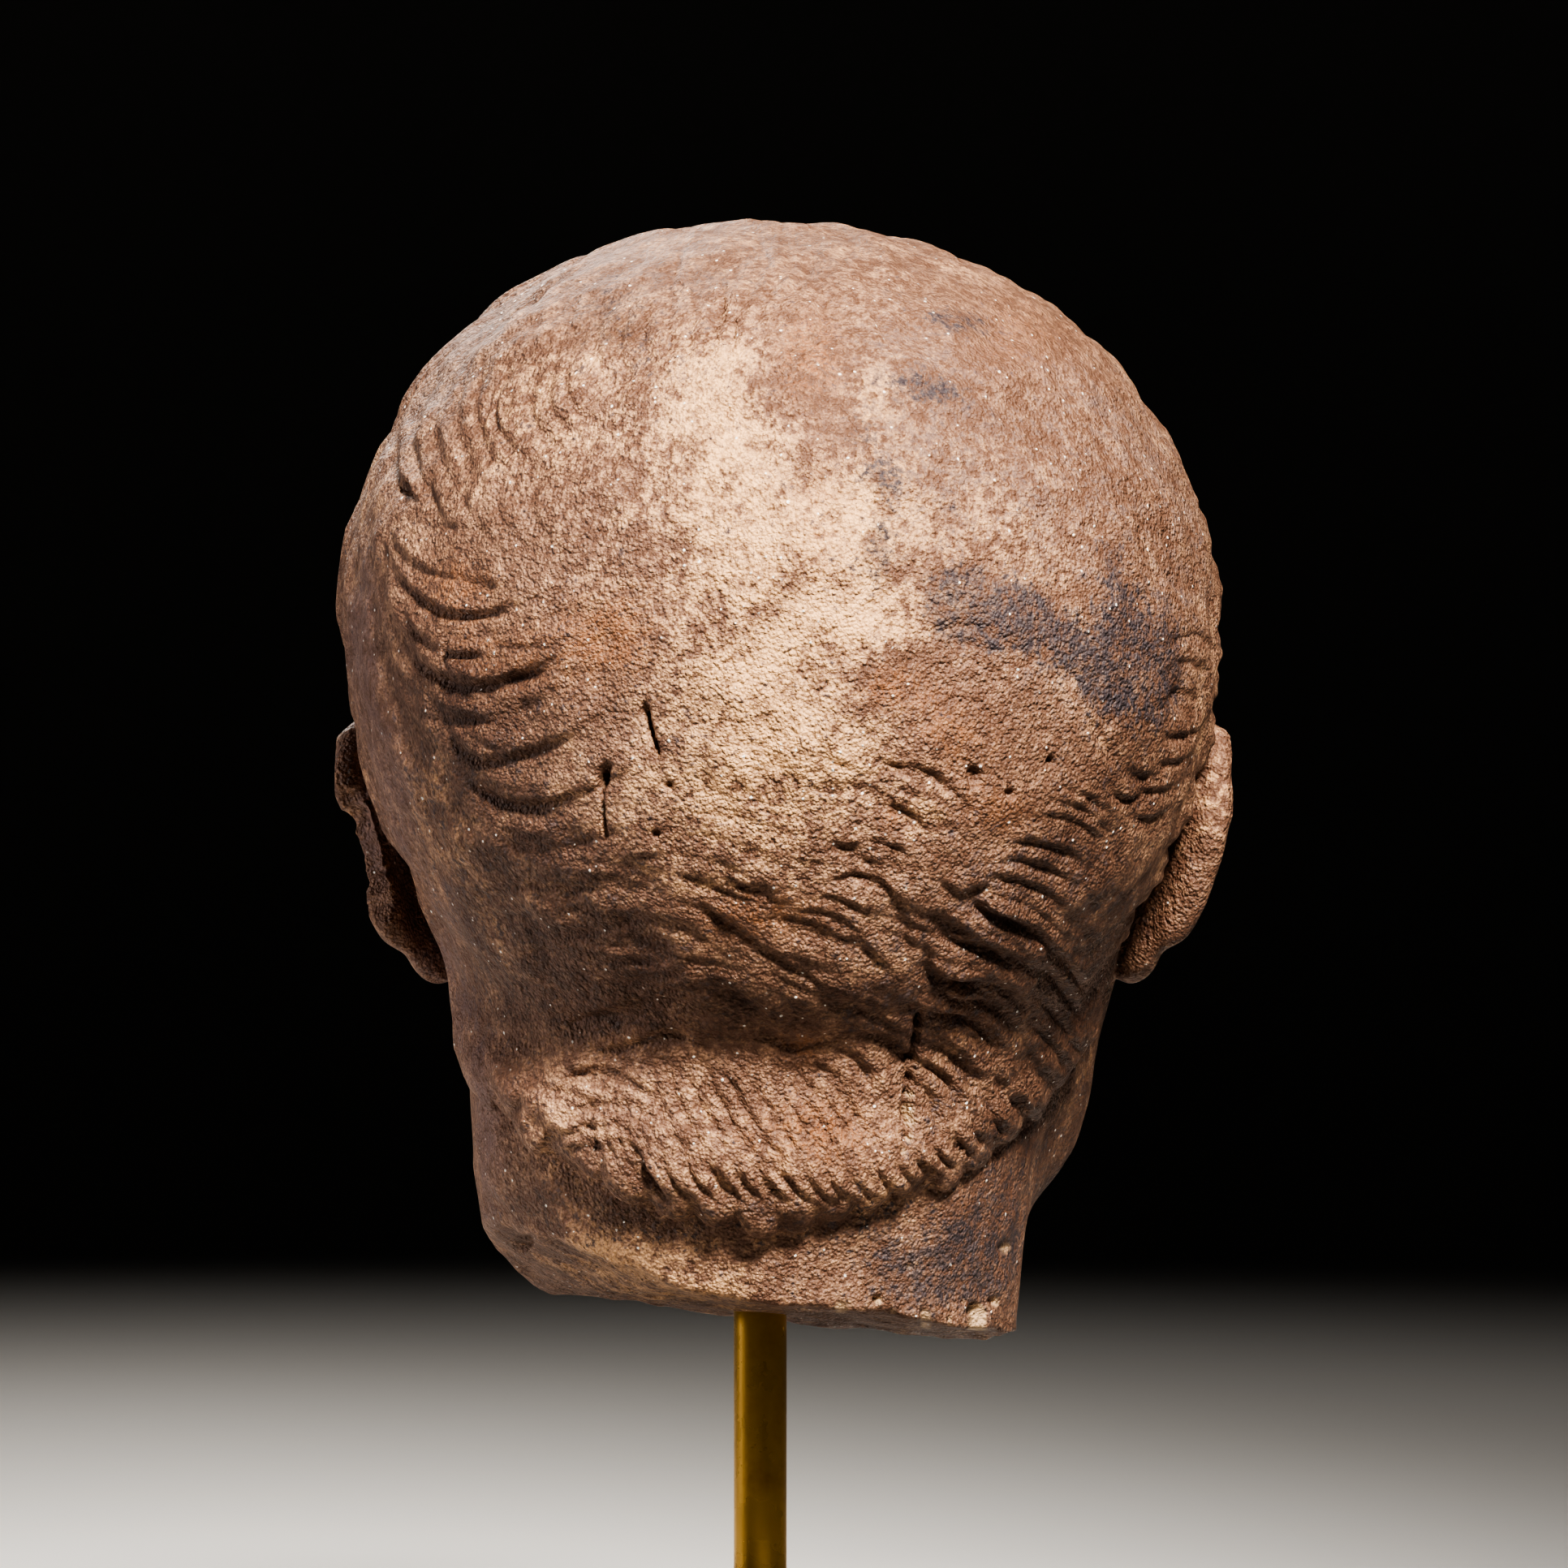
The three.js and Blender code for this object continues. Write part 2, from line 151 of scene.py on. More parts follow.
def finger(x, y, z, start, end, start_radius, end_radius=None):
    """A rod with round ends, whose radius runs from one value to the other."""
    end_radius = start_radius if end_radius is None else end_radius
    ux, uy, uz = (end[i] - start[i] for i in range(3))
    px, py, pz = x - start[0], y - start[1], z - start[2]
    t = np.clip((px * ux + py * uy + pz * uz) / (ux * ux + uy * uy + uz * uz), 0, 1)
    gap = np.sqrt((px - ux * t) ** 2 + (py - uy * t) ** 2 + (pz - uz * t) ** 2)
    return gap - mix(start_radius, end_radius, t)


def skull(s, y, z):
    width = HAIR_HALF_WIDTH - HAIR_THICKNESS
    height = CROWN - HAIR_THICKNESS - SKULL_MIDDLE
    upper = ellipsoid(s, y, z, (0, 9, SKULL_MIDDLE), (width, OCCIPUT - HAIR_THICKNESS - 9, height))
    crown = ellipsoid(s, y, z, (0, 10, 60), (72.5, 84, 54))
    forehead = ellipsoid(s, y, z, (0, -20, 34), (63, 69, 72))
    occiput = ellipsoid(s, y, z, (0, 27, 12), (63, 65, 55))
    return join(join(np.minimum(upper, crown), forehead, 12), occiput, 24)


def mask(s, y, z):
    """Cheekbones, cheeks, jaw and chin."""
    jaw_point = (38.5, -14, CHIN_LEVEL + 44)
    cheek = ellipsoid(s, y, z, (15.5, -40, -18), (45.5, 45, 56))
    cheekbone = ellipsoid(s, y, z, (44, -49, -4), (20, 23, 17))
    muzzle = ellipsoid(s, y, z, (0, -54, MOUTH_LEVEL + 3), (36, 32, 28))
    chin = ellipsoid(s, y, z, (0, -71, CHIN_LEVEL + 16), (24, 18.5, 16))
    jaw = finger(s, y, z, (18, -62, CHIN_LEVEL + 19), jaw_point, 16, 15.5)
    ramus = finger(s, y, z, jaw_point, (49, -6, -14), 15.5, 16)
    floor_of_mouth = ellipsoid(s, y, z, (0, -38, CHIN_LEVEL + 30), (40, 42, 26))
    d = join(cheek, cheekbone, 16)
    d = join(d, muzzle, 18)
    d = join(d, join(jaw, ramus, 10), 20)
    d = join(d, floor_of_mouth, 16)
    return join(d, chin, 13)


def eyes(s, y, z, face):
    """Brow ridge, sunk sockets, plain eyeballs and the lids round them."""
    bend = (32, -77.5, BROW_LEVEL + 4.5)
    inner = finger(s, y, z, (8, -81, BROW_LEVEL), bend, 7.5, 7)
    outer = finger(s, y, z, bend, (51, -58, BROW_LEVEL - 3), 7, 3.5)
    d = join(face, join(inner, outer, 6), 11)
    d = carve(d, ellipsoid(s, y, z, (EYE_SPACING, -96, EYE_LEVEL + 1), (20.5, 17.5, 12.5)), 10)
    ball = (EYE_SPACING, -69, EYE_LEVEL)
    cover = ellipsoid(s, y, z, ball, (16.2, 14.6, 13.6))
    u, v = s - EYE_SPACING, z - EYE_LEVEL
    upper_edge = np.sqrt(u * u + (v + 18.2) ** 2) - 23.4
    lower_edge = np.sqrt(u * u + (v - 21) ** 2) - 25.4
    opening = np.maximum(np.maximum(upper_edge, lower_edge), y + 74)
    d = join(d, carve(cover, opening, 0.8), 3)
    return np.minimum(d, ellipsoid(s, y, z, ball, (13.2, 12.6, 12.3)))


def nose(s, y, z, face):
    flank = ellipsoid(s, y, z, (0, -84, NOSE_BASE + 21), (16.5, 14, 28))
    bridge = finger(s, y, z, (0, -80, EYE_LEVEL + 9), (0, -102, NOSE_BASE + 9.5), 7.2, 8.6)
    wing = ellipsoid(s, y, z, (9.4, -91, NOSE_BASE + 7), (7.8, 11, 6.6))
    septum = finger(s, y, z, (0, -103, NOSE_BASE + 5.5), (0, -90, NOSE_BASE + 1.5), 4.4)
    nostril = finger(s, y, z, (5.2, -99, NOSE_BASE - 0.8), (7.4, -92, NOSE_BASE - 0.8), 2.6)
    d = join(face, flank, 10)
    d = join(d, bridge, 7)
    d = join(d, wing, 7)
    d = join(d, septum, 5)
    return carve(d, nostril, 1.6)


def mouth(s, y, z, face):
    line = MOUTH_LEVEL
    upper = finger(s, y, z, (3.5, -88.8, line + 4.2), (20, -79.5, line + 1), 5.2, 3)
    lower = finger(s, y, z, (0, -87, line - 5.2), (15, -81.5, line - 3.6), 6, 4.2)
    parting = finger(s, y, z, (0, -94.4, line - 0.3), (24, -82.5, line - 0.8), 0.9, 1.1)
    corner = ellipsoid(s, y, z, (27, -83, line - 1.5), (3, 4, 4.5))
    philtrum = finger(s, y, z, (0, -95.5, NOSE_BASE - 3), (0, -96.5, line + 11), 2.4)
    under_lip = ellipsoid(s, y, z, (0, -98, line - 16.5), (20, 10, 7))
    d = join(join(face, upper, 5), lower, 5)
    d = carve(d, parting, 2.4)
    d = carve(d, corner, 7)
    d = carve(d, philtrum, 5)
    return carve(d, under_lip, 12)


def neck(x, y, z):
    """The neck, which leans to the figure's left on its way down, and the roll of flesh at the nape."""
    middle = mix(0.5, 5.6, np.clip((-10 - z) / 50, 0, 1))
    half_width = mix(53, 49.5, np.clip((-50 - z) / 40, 0, 1))
    u, v = (x - middle) / half_width, (y - 9) / 47
    near = np.sqrt(u * u + v * v)
    slope = np.sqrt((u / half_width) ** 2 + (v / 47) ** 2)
    column = near * (near - 1) / np.maximum(slope, 1e-9)
    front = finger(np.abs(x - middle), y, z, (42, 8, -34), (20, -27, -130), 10)
    nape_roll = ellipsoid(x, y, z, (8, 30, -52), (42, 32, 23))
    return np.maximum(join(join(column, front, 14), nape_roll, 18), np.maximum(z - 10, -130 - z))


def cord(u, v, w, centre, radii, lift, radius, first, last):
    """A bent cord along an ellipse, from one angle to another in degrees, thinning out at its ends."""
    angle = np.degrees(np.arctan2((v - centre[1]) / radii[1], (u - centre[0]) / radii[0]))
    off = ellipsoid(u, v, 0 * u, (*centre, 0), (*radii, 1e6))
    past = np.abs((angle - (first + last) / 2 + 540) % 360 - 180) - (last - first) / 2
    thin = radius * (1 - smoothstep(-25, 10, past))
    return np.sqrt(off * off + (w - lift) ** 2) - thin


def ear(u, v, w):
    plate = ellipsoid(u, v, w, (2, 1.5, 0), (EAR_HALF_WIDTH - 0.5, EAR_HALF_HEIGHT - 2, 3.4))
    helix = cord(u, v, w, (2.5, 2.5), (EAR_HALF_WIDTH - 2.5, EAR_HALF_HEIGHT - 5), 1.8, RIM, -60, 190)
    inner = cord(u, v, w, (-1, -1), (8.5, 13), 2, RIM * 0.8, -95, 75)
    lobe = ellipsoid(u, v, w, (-0.5, -18.5, 0.5), (8, 7, 4))
    root = ellipsoid(u, v, w, (-5, -1, -9), (11, 19, 10))
    tragus = ellipsoid(u, v, w, (-9.5, -5, 0.5), (4.5, 6.5, 4.5))
    d = join(join(plate, lobe, 5), root, 6)
    d = join(join(d, helix, 2.5), inner, 2.5)
    d = carve(d, ellipsoid(u, v, w, (-2, -4, 6), (7, 10, 7.5)), 2.5)
    return join(d, tragus, 3)


def ear_axes():
    """The directions of an ear's own axes on the figure's left: to its back edge, up and outwards."""
    swing = math.radians(EAR_SWING)
    axes = Matrix((
        (math.sin(swing), 0, math.cos(swing)),
        (math.cos(swing), 0, -math.sin(swing)),
        (0, 1, 0),
    ))
    lean = Matrix.Rotation(math.radians(EAR_LEAN_OUT), 3, "Y")
    tip = Matrix.Rotation(-math.radians(EAR_LEAN_BACK), 3, "X")
    return np.array(tip @ lean @ axes)


EAR_AXES = ear_axes()
LATTICE_CELLS = 32
LATTICE = np.random.default_rng(11).uniform(-1, 1, (LATTICE_CELLS,) * 3).astype(np.float32)


def rough(x, y, z, size, shift=0):
    """Smooth noise between about -1 and 1, whose bumps are about one size across."""
    cells = []
    for value, offset in ((x, 3.1), (y, 7.7), (z, 13.3)):
        value = value / size + offset + shift * 5.17
        cell = np.floor(value)
        t = value - cell
        cells.append((cell.astype(int), t * t * (3 - 2 * t)))
    total = 0
    for corner in range(8):
        index, weight = [], 1
        for axis in range(3):
            step = corner >> axis & 1
            cell, t = cells[axis]
            index.append((cell + step) % LATTICE_CELLS)
            weight = weight * (t if step else 1 - t)
        total = total + weight * LATTICE[index[0], index[1], index[2]]
    return total * 1.4


def ears(x, y, z):
    """Both ears. The left one has lost a ragged strip of its rim."""
    both = []
    for side in (1, -1):
        place = np.stack([x * side - EAR_ROOT[0], y - EAR_ROOT[1], z - EAR_ROOT[2]], -1)
        u, v, w = np.moveaxis(place @ EAR_AXES, -1, 0)
        d = ear(u, v, w)
        if side == 1:
            bite = 1.6 * rough(v, 0 * v, 0 * v, 5) + 1.1 * rough(v, 0 * v, 0 * v, 2, 1)
            lost = 11.6 + bite + 0.02 * (v - 4) ** 2 - u
            d = carve(d, np.maximum(lost, -2.5 - w) * 0.9, 0.6)
        both.append(d)
    return np.minimum(*both)


# Marble head, the hair
# Short sickle-shaped locks in low relief, cut in tiers that curl round the crown. The back is worn almost
# smooth in the middle. Over the nape the hair stands up from the neck in a toothed edge.
WHORL = Vector((0.15, 0.745, 0.65)).normalized()
WHORL_SIDE = Vector((1, 0, 0)).cross(WHORL).normalized()
WHORL_ACROSS = WHORL.cross(WHORL_SIDE)
HAIR_CENTRE = (0, 10, 30)
TIER = 0.33
LOCK_WIDTH = 0.22
LOCK_RELIEF = 2.2
STRANDS = 3
TOOTH_WIDTH = 7.4


def lock_tips(place, width):
    """A scalloped edge of lock tips that lean to one side, from 0 in the notches to 1 at the tips."""
    lean, sharpness = 0.7, 0.8
    along = place / width
    along = along - np.floor(along)
    return np.sin(np.pi * along ** lean) ** sharpness


def hair_depth(x, y, z):
    """How far inside the hair a point lies, in millimetres along the scalp: negative on bare skin."""
    s = np.abs(x)
    uneven = 1.2 * rough(x, y, z, 7, 2)
    forelocks = 5 * lock_tips(x + 0.5 * z + 3 * rough(x, y, z, 20, 1), 13)
    forehead = (y + 80) * 0.55 + (z - 77) * 0.835 + forelocks + uneven
    sideburn = join(y + 40 + 2 * uneven, (z - 4) * 0.9 + 9 * np.maximum(0, y + 2), 12)
    teeth = 2.6 * (1 - lock_tips(0.35 * (z - NAPE_FRINGE) - x, TOOTH_WIDTH)) + uneven
    nape = NAPE_FRINGE + 0.0078 * (x - 2) ** 2 + teeth * smoothstep(5, 30, y)
    behind_ear = mix(2, nape, smoothstep(-6, 17, y))
    round_ear = (np.sqrt(((y - EAR_ROOT[1] + 5) / 17) ** 2 + ((z - EAR_ROOT[2] + 2) / 27) ** 2) - 1) * 17
    edge = np.minimum(-join(-forehead, -sideburn, 8), z - behind_ear)
    return np.where(s > 50, join(edge, round_ear, 6), edge)


def hair_cap(x, y, z):
    """The smooth thickness of the hair over the scalp: thin at the brow, a thick ledge at the nape."""
    at_nape = smoothstep(64, 12, z - NAPE_FRINGE) * smoothstep(0, 25, y)
    thickness = mix(2.6, HAIR_THICKNESS, smoothstep(-60, 20, z)) + NAPE_LEDGE * at_nape
    depth = hair_depth(x, y, z)
    soft = 0.55 * smoothstep(-1, 2, depth) + 0.45 * smoothstep(1, 14, depth)
    rolled = np.sqrt(np.clip(1 - (1 - np.clip((depth + 0.6) / NAPE_ROLL, 0, 1)) ** 2, 0, 1))
    return mix(soft, rolled, smoothstep(-10, 25, y)) * thickness


def head_form(x, y, z):
    """Head and ears, with the smooth cap of hair and without the breaks."""
    straight = x - CROWN_LEAN * np.maximum(0, z - 20)
    s = np.abs(straight)
    d = join(skull(s, y, z), mask(s, y, z), 16)
    d = eyes(s, y, z, d)
    d = nose(s, y, z, d)
    d = mouth(s, y, z, d)
    d = join(d, neck(straight, y, z), 12)
    return join(d - hair_cap(x, y, z), ears(x, y, z), 1.5)


def broken_form(x, y, z):
    """The head as it is now: broken off through the neck, and bored for the rod."""
    uneven = 0.9 * rough(x, y, z, 14, 3) + 0.35 * rough(x, y, z, 4, 4)
    d = head_form(x, y, z)
    for plane in (NECK_BREAK, CORNER_BREAK):
        steepness = math.hypot(1, *plane["slope"])
        d = carve(d, (z - plane_height(plane, x, y) - 0.8 - uneven) / steepness, 1.2)
    bore = np.hypot(x - ROD_IN_HEAD[0], y - ROD_IN_HEAD[1]) - ROD_HOLE_RADIUS
    top = z - plane_height(NECK_BREAK, *ROD_IN_HEAD) - ROD_IN_NECK
    return np.maximum(d, -np.maximum(bore, top))


def gap_and_slope(form, points, step=0.05):
    """How far points lie outside a distance field, and the direction in which it grows."""
    x, y, z = points.T
    gap = form(x, y, z)
    slope = [form(x + step, y, z) - gap, form(x, y + step, z) - gap, form(x, y, z + step) - gap]
    return gap, np.stack(slope, -1) / step


def settled(points, form, rounds):
    """The points, moved onto a form's surface along its slope."""
    for _ in range(rounds):
        gap, slope = gap_and_slope(form, points)
        size = np.maximum((slope ** 2).sum(-1), 0.25)
        points = points - slope * np.clip(gap / size, -1.5, 1.5)[:, None]
    return points


def normals_of(slope):
    return slope / np.linalg.norm(slope, axis=1, keepdims=True)


def tiers(x, y, z):
    """Height of the sickle-shaped locks, from 0 in their grooves to 1 on their backs."""
    place = np.stack([x - HAIR_CENTRE[0], y - HAIR_CENTRE[1], z - HAIR_CENTRE[2]], -1)
    length = np.sqrt((place ** 2).sum(-1)) + 1e-6
    down = np.arccos(np.clip(place @ np.array(WHORL) / length, -1, 1))
    turn = np.arctan2(place @ np.array(WHORL_SIDE), place @ np.array(WHORL_ACROSS)) + 0.5 * down
    wander = 0.12 * rough(x, y, z, 22, 5)
    tier = down / TIER + wander + 0.18 * np.sin(turn * 5)
    row = np.floor(tier)
    t = tier - row
    count = np.maximum(5, np.round(2 * math.pi * np.sin((row + 0.5) * TIER) / LOCK_WIDTH))
    lock = turn * count / (2 * math.pi) + row * 0.37 + 0.85 * t * t + 0.5 * wander
    across = 2 * (lock - np.floor(lock)) - 1
    back = 1 - np.abs(across) ** 2.2
    strand = 0.5 + 0.5 * np.cos(across * math.pi * STRANDS)
    tip = 1 - smoothstep(0.7, 1, t + 0.25 * np.abs(across))
    return np.minimum(1, 4 * t) * tip * (0.72 * back + 0.28 * strand * back)


# Grooves that the chisel left on the back of the head, as bent strokes seen from behind. Each line holds a
# depth and a half width in millimetres, and the places that the stroke runs through in pixels of the
# photograph. A fan of them goes on with the places of its last stroke, and then how many strokes it has.
FANS = [
    # The left side: long strokes that hang like hammocks, with finer ones in between
    (1.3, 0.6, (494, 586, 504, 604, 514, 618)),
    (0.9, 0.8, (480, 644, 512, 696, 566, 714)),
    (1.4, 0.8, (480, 684, 546, 754, 664, 734)),
    (1.0, 0.7, (492, 744, 516, 786, 550, 800)),
    (1.3, 0.6, (545, 804, 568, 808, 596, 804)),
    (2.0, 1.0, (500, 788, 574, 846, 704, 804)),
    (0.9, 1.3, (520, 850, 600, 886, 726, 824)),
    (1.5, 0.9, (548, 888, 612, 938, 746, 880)),
    (1.7, 1.0, (566, 950, 642, 996, 746, 962)),
    (0.9, 1.3, (594, 1014, 665, 1048, 750, 1024)),
    (0.6, 1.3, (616, 1068, 696, 1096, 784, 1064), (640, 1124, 716, 1150, 800, 1116), 2),
    (0.35, 0.5, (486, 662, 530, 724, 610, 722), (590, 1000, 665, 1032, 752, 1004), 12),
    (0.9, 1.6, (456, 672, 474, 748, 512, 826)),
    (0.6, 1.0, (440, 680, 456, 746, 494, 820), (470, 850, 500, 916, 560, 980), 4),
    (0.5, 1.0, (470, 900, 510, 1010, 560, 1120), (590, 1010, 640, 1110, 700, 1190), 6),
    # The upper left: soft round strokes, one inside the other, then short ones that fan out to the crown
    (1.17, 0.9, (636, 440, 612, 514, 660, 578)),
    (1.04, 1.1, (516, 470, 484, 556, 520, 640), (612, 410, 584, 500, 620, 590), 5),
    (0.78, 1.0, (668, 440, 652, 506, 700, 560), (716, 420, 696, 480, 744, 530), 3),
    (0.59, 0.9, (752, 372, 734, 424, 764, 480), (1010, 296, 980, 352, 936, 402), 9),
    (0.78, 0.9, (648, 368, 600, 400, 560, 452), (716, 332, 662, 362, 612, 412), 5),
    (0.52, 0.8, (540, 560, 532, 616, 574, 668), (660, 590, 660, 640, 700, 690), 4),
    # The top and the right, faint strokes that run over the worn crown
    (0.35, 0.9, (1010, 330, 1070, 330, 1140, 352), (970, 430, 1060, 400, 1180, 440), 6),
    (0.35, 0.9, (1180, 360, 1260, 410, 1320, 480), (1130, 470, 1200, 520, 1260, 600), 5),
    (0.5, 0.9, (1430, 640, 1456, 700, 1488, 780), (1340, 640, 1380, 720, 1430, 830), 6),
    (0.45, 0.9, (1076, 880, 1190, 770, 1316, 880), (1120, 910, 1190, 860, 1250, 920), 5),
    (0.35, 0.9, (860, 900, 880, 970, 940, 1020), (1000, 840, 1010, 910, 1050, 950), 6),
    # The middle: arched strokes that run down to the right, and the long one over the hollow of the neck
    (0.82, 0.7, (1066, 957, 1140, 948, 1198, 1004)),
    (0.88, 0.9, (1084, 1000, 1120, 1008, 1156, 1038)),
    (0.54, 0.6, (1040, 1042, 1090, 1044, 1140, 1074), (1030, 1064, 1084, 1066, 1130, 1090), 2),
    (1.02, 0.8, (1010, 1096, 1096, 1094, 1126, 1206)),
    (0.54, 0.6, (976, 1112, 1046, 1114, 1092, 1160), (960, 1126, 1030, 1132, 1076, 1176), 2),
    (0.68, 0.8, (946, 1134, 986, 1138, 1030, 1156)),
    (0.75, 0.8, (990, 1150, 1056, 1168, 1106, 1214)),
    (0.82, 0.8, (880, 1074, 916, 1092, 952, 1096)),
    (1.09, 1.0, (862, 1112, 886, 1136, 910, 1150)),
    (0.88, 0.8, (896, 1148, 960, 1186, 1040, 1228, 1124, 1256)),
    (0.54, 0.6, (940, 1200, 990, 1218, 1060, 1244)),
    (0.95, 0.9, (1006, 1228, 1050, 1242, 1092, 1262, 1134, 1286)),
    (0.88, 1.1, (880, 1216, 912, 1232, 946, 1254)),
    (0.41, 0.8, (850, 1000, 920, 1012, 1000, 1040), (800, 1120, 850, 1150, 900, 1196), 6),
    (0.41, 0.9, (1120, 1010, 1150, 1050, 1160, 1100), (1190, 1010, 1186, 1050, 1170, 1090), 4),
    (0.61, 1.0, (700, 1190, 770, 1210, 850, 1190), (740, 1250, 810, 1236, 880, 1246), 3),
    (1.5, 1.6, (930, 1250, 986, 1286, 1046, 1272)),
    # The right side: the deepest strokes, bent like waves, down to the hollow behind the ear
    (1.6, 0.9, (1190, 1106, 1206, 1098, 1222, 1092)),
    (2.2, 1.0, (1196, 1110, 1232, 1134, 1266, 1146, 1298, 1172)),
    (1.6, 0.9, (1146, 1128, 1172, 1142, 1196, 1164)),
    (2.2, 1.0, (1160, 1136, 1188, 1168, 1230, 1178, 1284, 1204)),
    (2.4, 1.1, (1144, 1172, 1172, 1212, 1226, 1220, 1276, 1254)),
    (1.3, 0.8, (1160, 1206, 1186, 1236, 1228, 1246, 1262, 1280)),
    (2.0, 0.9, (1126, 1240, 1166, 1252, 1208, 1268, 1234, 1318)),
    (1.8, 0.8, (1140, 1286, 1166, 1294, 1194, 1318, 1206, 1352)),
    (1.8, 0.8, (1134, 1308, 1158, 1322, 1178, 1344, 1184, 1376)),
    (1.6, 0.8, (1132, 1336, 1156, 1362, 1166, 1410)),
    (1.5, 0.8, (1226, 1326, 1250, 1346, 1262, 1392)),
    (0.5, 0.5, (1206, 1100, 1256, 1112, 1310, 1150), (1140, 1270, 1190, 1300, 1220, 1350), 9),
    (1.0, 0.7, (1206, 1084, 1262, 1090, 1326, 1130), (1240, 1040, 1296, 1044, 1356, 1084), 3),
    (0.8, 0.7, (1262, 1012, 1316, 1010, 1372, 1050), (1300, 968, 1340, 982, 1380, 1014), 3),
    (1.3, 0.8, (1284, 1160, 1316, 1186, 1334, 1230), (1270, 1262, 1300, 1290, 1318, 1330), 4),
    (1.2, 0.8, (1366, 964, 1388, 984, 1414, 978)),
    (1.2, 0.8, (1390, 942, 1410, 958, 1436, 952)),
    (0.9, 0.7, (1396, 1004, 1420, 1008, 1446, 994), (1432, 906, 1456, 910, 1486, 894), 4),
    (0.7, 0.7, (1420, 880, 1455, 852, 1488, 872), (1440, 800, 1470, 782, 1496, 802), 3),
    (1.1, 0.8, (1205, 1320, 1226, 1360, 1230, 1410), (1262, 1290, 1286, 1320, 1290, 1376), 5),
    # The nape: strands that spread from the crease down to the toothed edge
    (1.2, 0.9, (696, 1264, 745, 1250, 784, 1262)),
    (1.2, 0.9, (730, 1294, 782, 1288, 834, 1270)),
    (1.2, 0.9, (684, 1348, 716, 1322, 766, 1330)),
    (1.0, 0.9, (690, 1382, 730, 1364, 782, 1372), (660, 1450, 706, 1420, 770, 1420), 3),
    (1.5, 0.9, (606, 1392, 626, 1374, 638, 1344), (630, 1436, 664, 1420, 682, 1388), 3),
    (1.4, 0.9, (1040, 1278, 1106, 1288, 1120, 1344)),
    (0.9, 0.9, (1010, 1300, 1060, 1312, 1080, 1360), (980, 1316, 1034, 1330, 1056, 1380), 2),
    (0.8, 0.7, (800, 1306, 820, 1376, 858, 1440), (1010, 1330, 1054, 1366, 1090, 1430), 10),
    (0.7, 0.7, (724, 1350, 726, 1400, 750, 1460), (800, 1340, 804, 1400, 836, 1450), 6),
    (1.3, 0.7, (782, 1424, 800, 1460, 826, 1486), (1046, 1440, 1066, 1470, 1094, 1486), 10),
    (1.4, 0.7, (1076, 1430, 1092, 1460, 1120, 1478), (1228, 1372, 1244, 1400, 1270, 1412), 7),
]
# Finer strands between those, scattered: how many, the left, top, right and bottom of their area in the
# photograph, the angle down from level at its left and at its right, and the bend to the crown's side
SCATTERED_STRANDS = [
    (110, (600, 1050, 1170, 1292), (-4, 34), 0.1),
    (80, (690, 1300, 1110, 1470), (20, 66), 0.14),
    (24, (490, 380, 780, 640), (100, 118), 0.16),
    (60, (1130, 1090, 1330, 1390), (28, 44), -0.08),
    (50, (500, 640, 760, 1040), (24, -18), -0.12),
    (40, (1000, 930, 1200, 1100), (8, 36), 0.14),
    (40, (770, 300, 1240, 430), (112, 30), 0.06),
    (60, (1330, 480, 1480, 940), (56, 66), 0.05),
    (34, (1020, 1490, 1290, 1600), (88, 92), 0.0),
]
STRAND_TILT = 9
STRAND_REACH = (20, 56)
STRAND_DEPTH = (0.15, 0.5)
STRAND_HALF_WIDTH = (0.4, 0.8)
# Damage: a depth, a half width or radius, and the places that a crack runs through or the middle of a pit
CRACKS = [
    (3.0, 0.5, (795, 872, 799, 898, 808, 930)),
    (2.6, 0.6, (750, 944, 744, 962, 742, 980)),
    (1.4, 0.35, (742, 980, 744, 1006, 746, 1034)),
    (1.8, 0.6, (1133, 1252, 1124, 1296, 1122, 1338)),
    (1.6, 0.7, (1121, 1336, 1119, 1370, 1121, 1404)),
    (0.8, 0.3, (893, 500, 897, 510, 899, 518)),
    (1.2, 0.4, (552, 786, 549, 802, 548, 820)),
]
PITS = [
    (2.2, 1.1, (742, 958)), (1.6, 1.0, (497, 601)), (1.3, 0.8, (824, 968)), (1.3, 0.9, (808, 1028)),
    (1.3, 1.2, (1200, 955)), (1.4, 1.3, (1245, 978)), (1.6, 1.3, (1298, 938)), (2.2, 1.1, (644, 1537)),
    (3.0, 0.9, (1132, 1262)), (2.4, 0.7, (1129, 1282)), (2.6, 0.8, (1124, 1304)), (2.4, 0.8, (1122, 1330)),
]
CHIPS = [
    (0.9, 0.9, (1239, 1537)), (1.0, 0.8, (1036, 1612)), (1.6, 1.0, (1082, 1602)), (0.8, 0.7, (1100, 1616)),
    (1.2, 0.9, (1140, 1620)), (1.0, 0.8, (1170, 1624)), (2.2, 1.7, (1204, 1616)), (1.3, 1.2, (1226, 1604)),
    (0.7, 0.6, (1120, 1560)), (0.8, 0.6, (1188, 1604)), (1.3, 0.9, (1121, 1348)), (1.4, 1.1, (1118, 1366)),
    (1.3, 0.9, (1122, 1383)), (1.3, 1.0, (1120, 1402)), (0.9, 0.7, (1114, 1420)),
]
CROWN_SEEN = (1000, 420)
STEP_SHARE = 0.5
LOCK_REACH = 4.0
GROOVE_DEPTH = 1.05
SLATE_STEP = 0.25
SLATE_LOW = (-95.0, -100.0)
SLATE_SIZE = (760, 880)


def seen_mm(pixel_x, pixel_y):
    """A place in the photograph, as millimetres left and up from the level of the camera."""
    return (PHOTO_SIZE / 2 - pixel_x) / PIXELS_PER_MM, (PHOTO_SIZE / 2 - pixel_y) / PIXELS_PER_MM


